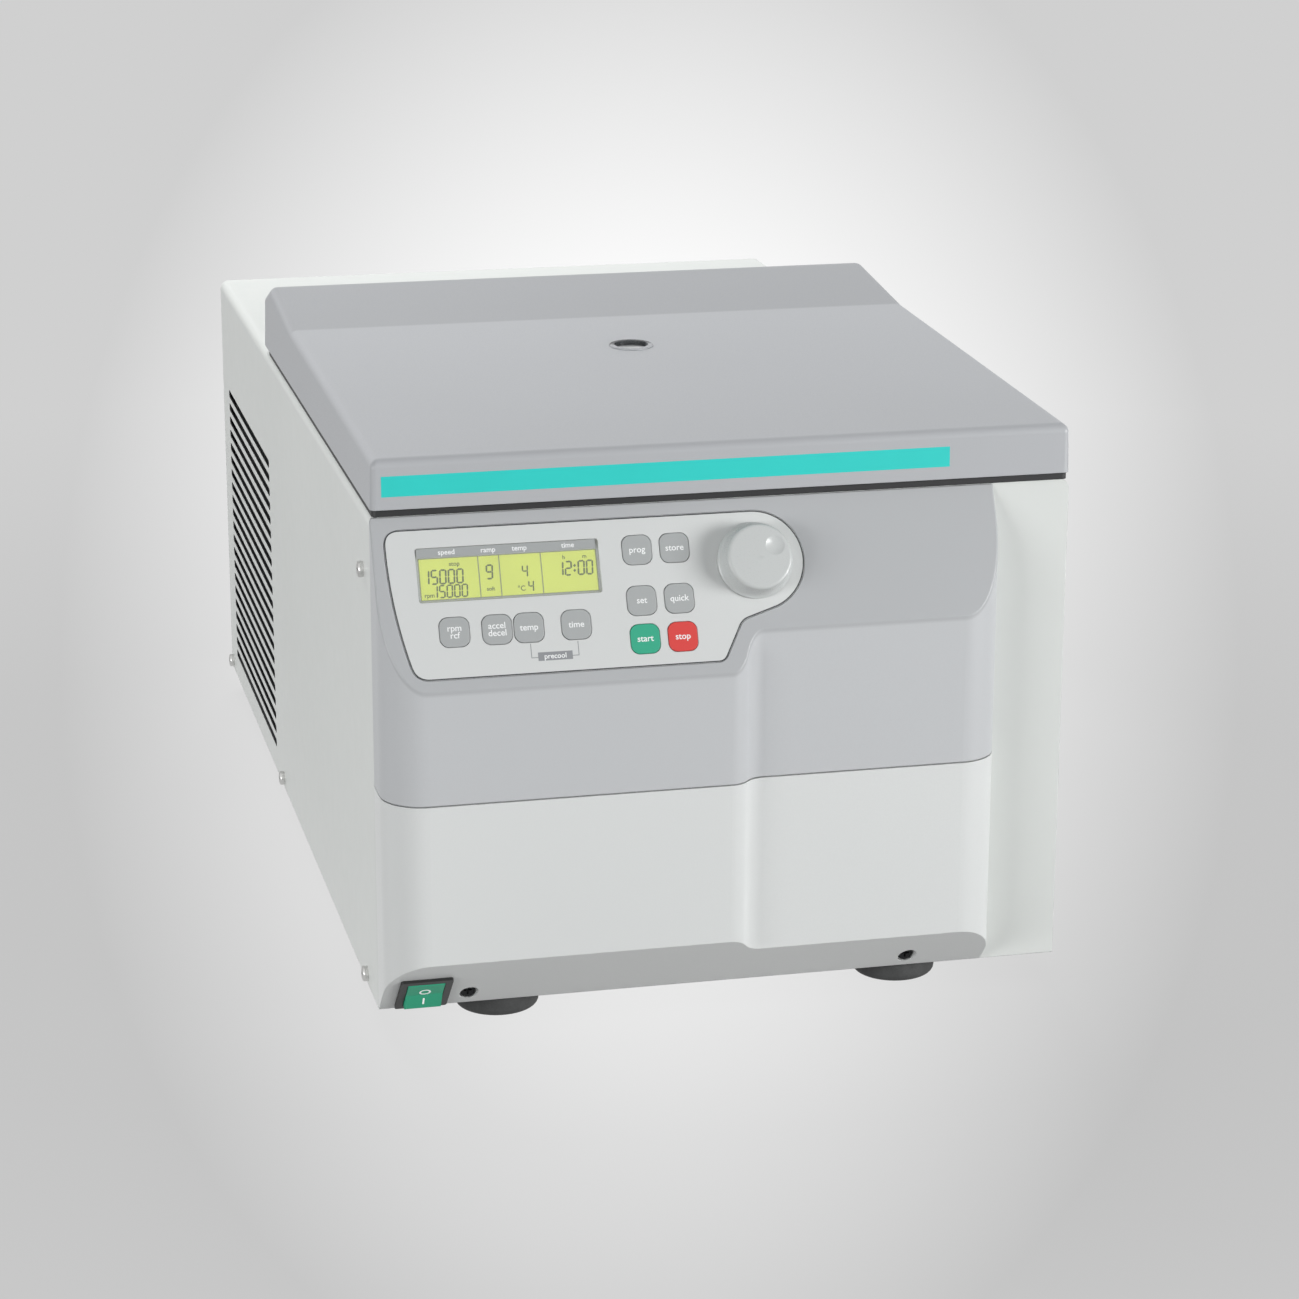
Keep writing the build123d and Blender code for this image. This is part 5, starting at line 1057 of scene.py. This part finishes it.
class CENTRIFUGE_OT_seam_shadow(bpy.types.Operator):
    """Lay the painted shadow of the gap round the membrane: a dark band just inside its edge."""

    bl_idname = "centrifuge.outline"
    bl_label = "Print the membrane's outline"

    def execute(self, context):
        upper_left, lower_left = (6.9, -7.6), (18.0, -91.2)
        lower_right, neck = (190.3, -91.2), (202.4, -68.7)
        lobe_low, lobe_right, lobe_top = (222.9, -62.3), (240.7, -36.0), (212.3, -7.6)
        path = np.concatenate(
            [
                arc_through(upper_left, (9.0, -49.4), lower_left),
                [lower_left, lower_right, neck],
                arc_through(lobe_low, lobe_right, lobe_top),
                [lobe_top],
            ]
        )
        corners = ((upper_left, 8.6), (lower_left, 8.0), (lower_right, 3.7), (neck, 3.6))
        bands = inner_band(rounded_loop(path, corners), 0.12, 0.82)
        # The band's colour is painted shade, not a print.
        ink = screen_ink("painted_seam_shadow", context.scene.centrifuge_colours.seam_shade_grey, 0.5)
        lay_film("membrane_shadow_band", bands, MEMBRANE_TOP, ink)
        return {"FINISHED"}


# The ring's middle and the level half's height, in millimetres on the undercut plane, the bar, and
# the middle of the raised half, in metres from the cabinet's lower front left corner.
ROCKER_RING = (23.2, 25.75)
RING_RADII = (3.3, 2.3)
ROCKER_BAR = rectangle((0.0, 0.0), 1.0, 5.6)
ROCKER_FACE = 2.0
RAISED_HALF = np.array((0.0232, -0.01402, 0.00852))


class CENTRIFUGE_OT_rocker_marks(bpy.types.Operator):
    """Print the ring on the rocker's level half and the bar on its raised half, in white ink that glows
    faintly as painted light.
    """

    bl_idname = "centrifuge.rocker_marks"
    bl_label = "Print the rocker's marks"

    def execute(self, context):
        # The last number is a glow: painted light on the white ink.
        white = screen_ink("rocker_white_ink_painted_glow", linear("#F8FAF9"), 0.45, 0.25)
        outline = ring_outlines(ROCKER_RING, *RING_RADII)
        ring = prisms("rocker_ring", outline, UNDERCUT, ROCKER_FACE, ROCKER_FACE + FILM)
        finish_piece(ring, white, "rocker")
        lean = UNDERCUT_LEAN + ROCKER_SWING
        raised_up = (0, -math.cos(lean), math.sin(lean))
        raised_half = Sheet(UNDERCUT.origin + RAISED_HALF, (1, 0, 0), raised_up)
        bar = prisms("rocker_bar", [ROCKER_BAR], raised_half, 0.0, FILM + 0.03)
        finish_piece(bar, white, "rocker")
        return {"FINISHED"}


class CENTRIFUGE_OT_chamber(bpy.types.Operator):
    """Finish the surround, bowl, gasket, coil, foam and guard ring."""

    bl_idname = "centrifuge.chamber"
    bl_label = "Finish the chamber"

    def execute(self, context):
        centre = CHAMBER_CENTRE
        paint(moulded_abs("textured_abs_black", linear("#17181A"), 0.5, 0.001), "chamber_surround")
        bowl_steel = turned_metal("spun_stainless_bowl", linear("#C2C4C6"), 0.24, centre, "Z", 0.0012)
        paint(bowl_steel, "chamber_bowl")
        paint(moulded_rubber("silicone_gasket", linear("#303134")), "chamber_gasket")
        paint(
            plated_steel("drawn_copper_coil", linear("#B8734A"), 0.3),
            "cooling_coil",
            "refrigerant_pipes",
        )
        paint(cell_foam("closed_cell_foam", linear("#E3DAB0")), "foam_jacket")
        paint(powder_coat("black_enamel_guard", linear("#2B2C2E")), "guard_ring")
        return {"FINISHED"}


class CENTRIFUGE_OT_drive(bpy.types.Operator):
    """Finish the rotor, nut, shaft, motor, seal and mounts."""

    bl_idname = "centrifuge.drive"
    bl_label = "Finish the drive"

    def execute(self, context):
        centre = CHAMBER_CENTRE
        paint(turned_metal("anodised_aluminium_rotor", linear("#7E8084"), 0.3, centre, "Z", 0.001), "rotor")
        paint(turned_metal("turned_steel_nut", linear("#B6B7B8"), 0.22, centre), "rotor_nut")
        paint(turned_metal("ground_steel_shaft", linear("#A9AAAB"), 0.2, centre), "drive_shaft")
        paint(
            turned_metal("cast_aluminium_motor", linear("#A8AAAC"), 0.4, centre, "Z", 0.002),
            "drive_motor",
            "motor_plate",
        )
        paint(moulded_rubber("nitrile_rubber_inner", linear("#262627")), "motor_seal", "rubber_mounts")
        return {"FINISHED"}


class CENTRIFUGE_OT_cooling(bpy.types.Operator):
    """Finish the compressor, condenser, shroud, fan and fan motor."""

    bl_idname = "centrifuge.cooling"
    bl_label = "Finish the cooling set"

    def execute(self, context):
        paint(powder_coat("black_enamel_compressor", linear("#202122"), 0.3), "compressor")
        paint(powder_coat("black_coated_fins", linear("#1A1B1C"), 0.5), "condenser")
        paint(powder_coat("grey_coated_shroud", linear("#3B3D3F"), 0.5), "fan_shroud")
        paint(moulded_abs("polyamide_fan", linear("#262728"), 0.45), "condenser_fan")
        paint(
            turned_metal("enamelled_fan_motor", linear("#4A4B4D"), 0.4, FAN_CENTRE, "X"),
            "fan_motor",
        )
        return {"FINISHED"}


class CENTRIFUGE_OT_lock(bpy.types.Operator):
    """Finish the lock's rail, bar and solenoid."""

    bl_idname = "centrifuge.lock"
    bl_label = "Finish the lock"

    def execute(self, context):
        paint(plated_steel("zinc_plated_lock", linear("#B4B5B0")), "lock_rail", "lock_slider")
        paint(moulded_abs("potted_solenoid", linear("#27282A"), 0.4), "lock_solenoid")
        return {"FINISHED"}


# Metres: the floor's radius, how far it lies below the feet, and where the object's shadow fades.
FLOOR_RADIUS = 6.0
FLOOR_DROP = 0.0002
SHADOW_REACH = (0.5, 1.3)
# Each soft box: its place and its width and height, in metres.
REAR_BOX = (-0.3, 2.5, 2.1), (2.0, 1.4)
LEFT_BOX = (-2.65, -1.9, 0.62), (1.6, 0.9)
RIGHT_BOX = (2.45, -2.15, 0.62), (1.6, 0.9)
LIT_MIDDLE = np.array([0.0, -0.1, 0.18])


class CENTRIFUGE_OT_stage(bpy.types.Operator):
    """Set the pale floor, the even sky, three soft lights and the camera."""

    bl_idname = "centrifuge.stage"
    bl_label = "Set the stage"

    def execute(self, context):
        stage = context.scene.centrifuge_stage
        self.lay_floor(context, stage)
        self.sky(context, stage)
        rear = self.soft_light(context, "rear_light", *REAR_BOX, stage.rear_power)
        rear.visible_glossy = False
        self.soft_light(context, "left_light", *LEFT_BOX, stage.left_power)
        self.soft_light(context, "right_light", *RIGHT_BOX, stage.right_power)
        self.camera(context, stage)
        context.scene.view_settings.view_transform = "Standard"
        return {"FINISHED"}

    def lay_floor(self, context, stage):
        """A round floor: rings of points at even radii and turns, the middle closed by one face."""
        reach = np.linspace(0.0, FLOOR_RADIUS, 25)
        turn = np.linspace(0.0, 2 * math.pi, 97)[:-1]
        ring = np.stack([np.outer(reach, np.cos(turn)), np.outer(reach, np.sin(turn))], axis=-1)
        points = np.concatenate([ring.reshape(-1, 2), np.zeros((ring.size // 2, 1))], axis=1)
        points[:, 2] -= FLOOR_DROP
        count = len(turn)
        index = np.arange(len(points)).reshape(len(reach), count)
        ahead = np.roll(index, -1, axis=1)
        quads = np.stack([index[:-1], index[1:], ahead[1:], ahead[:-1]], axis=-1)[1:].reshape(-1, 4)
        cap = index[1].tolist()
        mesh = bpy.data.meshes.new("floor")
        mesh.from_pydata(points.tolist(), [], quads.tolist() + [cap])
        mesh.update()
        floor = bpy.data.objects.new("floor", mesh)
        context.scene.collection.objects.link(floor)
        mesh.materials.append(self.floor_paper(stage))

    def seen_ray(self, tree):
        """One for camera, glossy and transmission rays."""
        path = add_node(tree, "ShaderNodeLightPath").outputs
        seen = maths(tree, "MAXIMUM", path["Is Camera Ray"], path["Is Glossy Ray"])
        return maths(tree, "MAXIMUM", seen, path["Is Transmission Ray"])

    def halo(self, tree, gaze, stage):
        """Backdrop tone: white in the middle of the frame, pale grey outside an upright oval.

        The gaze is split along the frame's across, up and ahead axes; across and up over ahead,
        each scaled by its half-width of the oval in pixels, give the distance from the middle.
        """
        frame_axes = np.array(self.camera_matrix(stage).to_3x3())
        scaled = (
            frame_axes[:, 0] * stage.focal_pixels / OVAL_ACROSS,
            frame_axes[:, 1] * stage.focal_pixels / OVAL_UP,
            -frame_axes[:, 2],
        )
        across, up, ahead = [vector_maths(tree, "DOT_PRODUCT", gaze, axis) for axis in scaled]
        flat = add_node(tree, "ShaderNodeCombineXYZ", links={"X": across, "Y": up}).outputs[0]
        share = maths(tree, "DIVIDE", vector_maths(tree, "LENGTH", flat), ahead)
        return blend_colours(
            tree, spread(tree, share, 0.42, 1.0, 0.0, 1.0), linear("#FFFFFF"), linear("#D0D0D0")
        )

    def floor_paper(self, stage):
        """Matt paper that carries the halo and, near the object, the object's soft shadow."""
        material, tree, place = start_material("matt_backdrop_paper")
        gaze = vector_maths(tree, "SUBTRACT", place, stage.camera_place, "Vector")
        shown = spread(tree, vector_maths(tree, "LENGTH", place), *SHADOW_REACH, 0.8, 1.0)
        share = maths(tree, "MULTIPLY", shown, self.seen_ray(tree))
        lit = add_node(tree, "ShaderNodeBsdfDiffuse", {"Color": linear("#8A8A8A")})
        glow = add_node(
            tree, "ShaderNodeEmission", {"Strength": 1.0}, {"Color": self.halo(tree, gaze, stage)}
        )
        mixed = add_node(
            tree, "ShaderNodeMixShader", links={0: share, 1: lit.outputs[0], 2: glow.outputs[0]}
        )
        close_material(tree, mixed)
        return material

    def sky(self, context, stage):
        """Even light from all round, seen as the halo."""
        world = bpy.data.worlds.new("pale_studio")
        world.use_nodes = True
        tree = world.node_tree
        tree.nodes.clear()
        gaze = add_node(tree, "ShaderNodeTexCoord").outputs["Generated"]
        shown = add_node(
            tree, "ShaderNodeBackground", {"Strength": 1.0}, {"Color": self.halo(tree, gaze, stage)}
        )
        light = add_node(
            tree, "ShaderNodeBackground", {"Color": linear("#F4F6F8"), "Strength": stage.sky_strength}
        )
        mixed = add_node(
            tree,
            "ShaderNodeMixShader",
            links={0: self.seen_ray(tree), 1: light.outputs[0], 2: shown.outputs[0]},
        )
        add_node(tree, "ShaderNodeOutputWorld", links={"Surface": mixed.outputs[0]})
        context.scene.world = world

    def soft_light(self, context, name, place, size, power):
        """A soft box that faces the object's middle."""
        lamp = bpy.data.lights.new(name, "AREA")
        lamp.shape = "RECTANGLE"
        lamp.size, lamp.size_y = size
        lamp.energy = power
        holder = bpy.data.objects.new(name, lamp)
        context.scene.collection.objects.link(holder)
        gaze = LIT_MIDDLE - np.array(place)
        level = math.hypot(gaze[0], gaze[1])
        holder.location = place
        holder.rotation_euler = (math.atan2(level, -gaze[2]), 0.0, math.atan2(-gaze[0], gaze[1]))
        return holder

    def camera_matrix(self, stage):
        """Place and turn of the camera: turned about +Z, dipped, then rolled about its own axis."""
        turned = Matrix.Rotation(-stage.camera_turn, 4, "Z")
        dipped = Matrix.Rotation(math.pi / 2 - stage.camera_dip, 4, "X")
        rolled = Matrix.Rotation(stage.camera_roll, 4, "Z")
        return Matrix.Translation(stage.camera_place) @ turned @ dipped @ rolled

    def camera(self, context, stage):
        """The camera at the photograph's place, turn and dip."""
        lens = bpy.data.cameras.new("camera")
        lens.sensor_width = SENSOR_WIDTH
        lens.lens = stage.focal_pixels / FRAME_PIXELS * SENSOR_WIDTH
        lens.clip_start = 0.05
        lens.clip_end = 60.0
        holder = bpy.data.objects.new("camera", lens)
        context.scene.collection.objects.link(holder)
        holder.matrix_world = self.camera_matrix(stage)
        context.scene.camera = holder


OPERATORS = (
    CENTRIFUGE_OT_stage,
    CENTRIFUGE_OT_housing,
    CENTRIFUGE_OT_fascia,
    CENTRIFUGE_OT_lid,
    CENTRIFUGE_OT_stripe,
    CENTRIFUGE_OT_controls,
    CENTRIFUGE_OT_display,
    CENTRIFUGE_OT_prints,
    CENTRIFUGE_OT_seam_shadow,
    CENTRIFUGE_OT_rocker_marks,
    CENTRIFUGE_OT_chamber,
    CENTRIFUGE_OT_drive,
    CENTRIFUGE_OT_cooling,
    CENTRIFUGE_OT_lock,
)


class CENTRIFUGE_PT_panel(bpy.types.Panel):
    """Sidebar panel that lists the steps."""

    bl_idname = "CENTRIFUGE_PT_panel"
    bl_label = "Bench centrifuge"
    bl_space_type = "VIEW_3D"
    bl_region_type = "UI"
    bl_category = "Centrifuge"

    def draw(self, context):
        for operator in OPERATORS:
            self.layout.operator(operator.bl_idname)


CLASSES = (CentrifugeColours, CentrifugeSizes, CentrifugeStage, *OPERATORS, CENTRIFUGE_PT_panel)


def register():
    """Register the classes and hang the settings on the scene."""
    for cls in CLASSES:
        bpy.utils.register_class(cls)
    bpy.types.Scene.centrifuge_colours = bpy.props.PointerProperty(type=CentrifugeColours)
    bpy.types.Scene.centrifuge_sizes = bpy.props.PointerProperty(type=CentrifugeSizes)
    bpy.types.Scene.centrifuge_stage = bpy.props.PointerProperty(type=CentrifugeStage)


def unregister():
    """Take the settings and the classes away again."""
    del bpy.types.Scene.centrifuge_stage
    del bpy.types.Scene.centrifuge_sizes
    del bpy.types.Scene.centrifuge_colours
    for cls in reversed(CLASSES):
        bpy.utils.unregister_class(cls)


def main():
    """Run every step in order."""
    register()
    for operator in OPERATORS:
        group, step = operator.bl_idname.split(".")
        getattr(getattr(bpy.ops, group), step)()


if __name__ == "__main__":
    main()
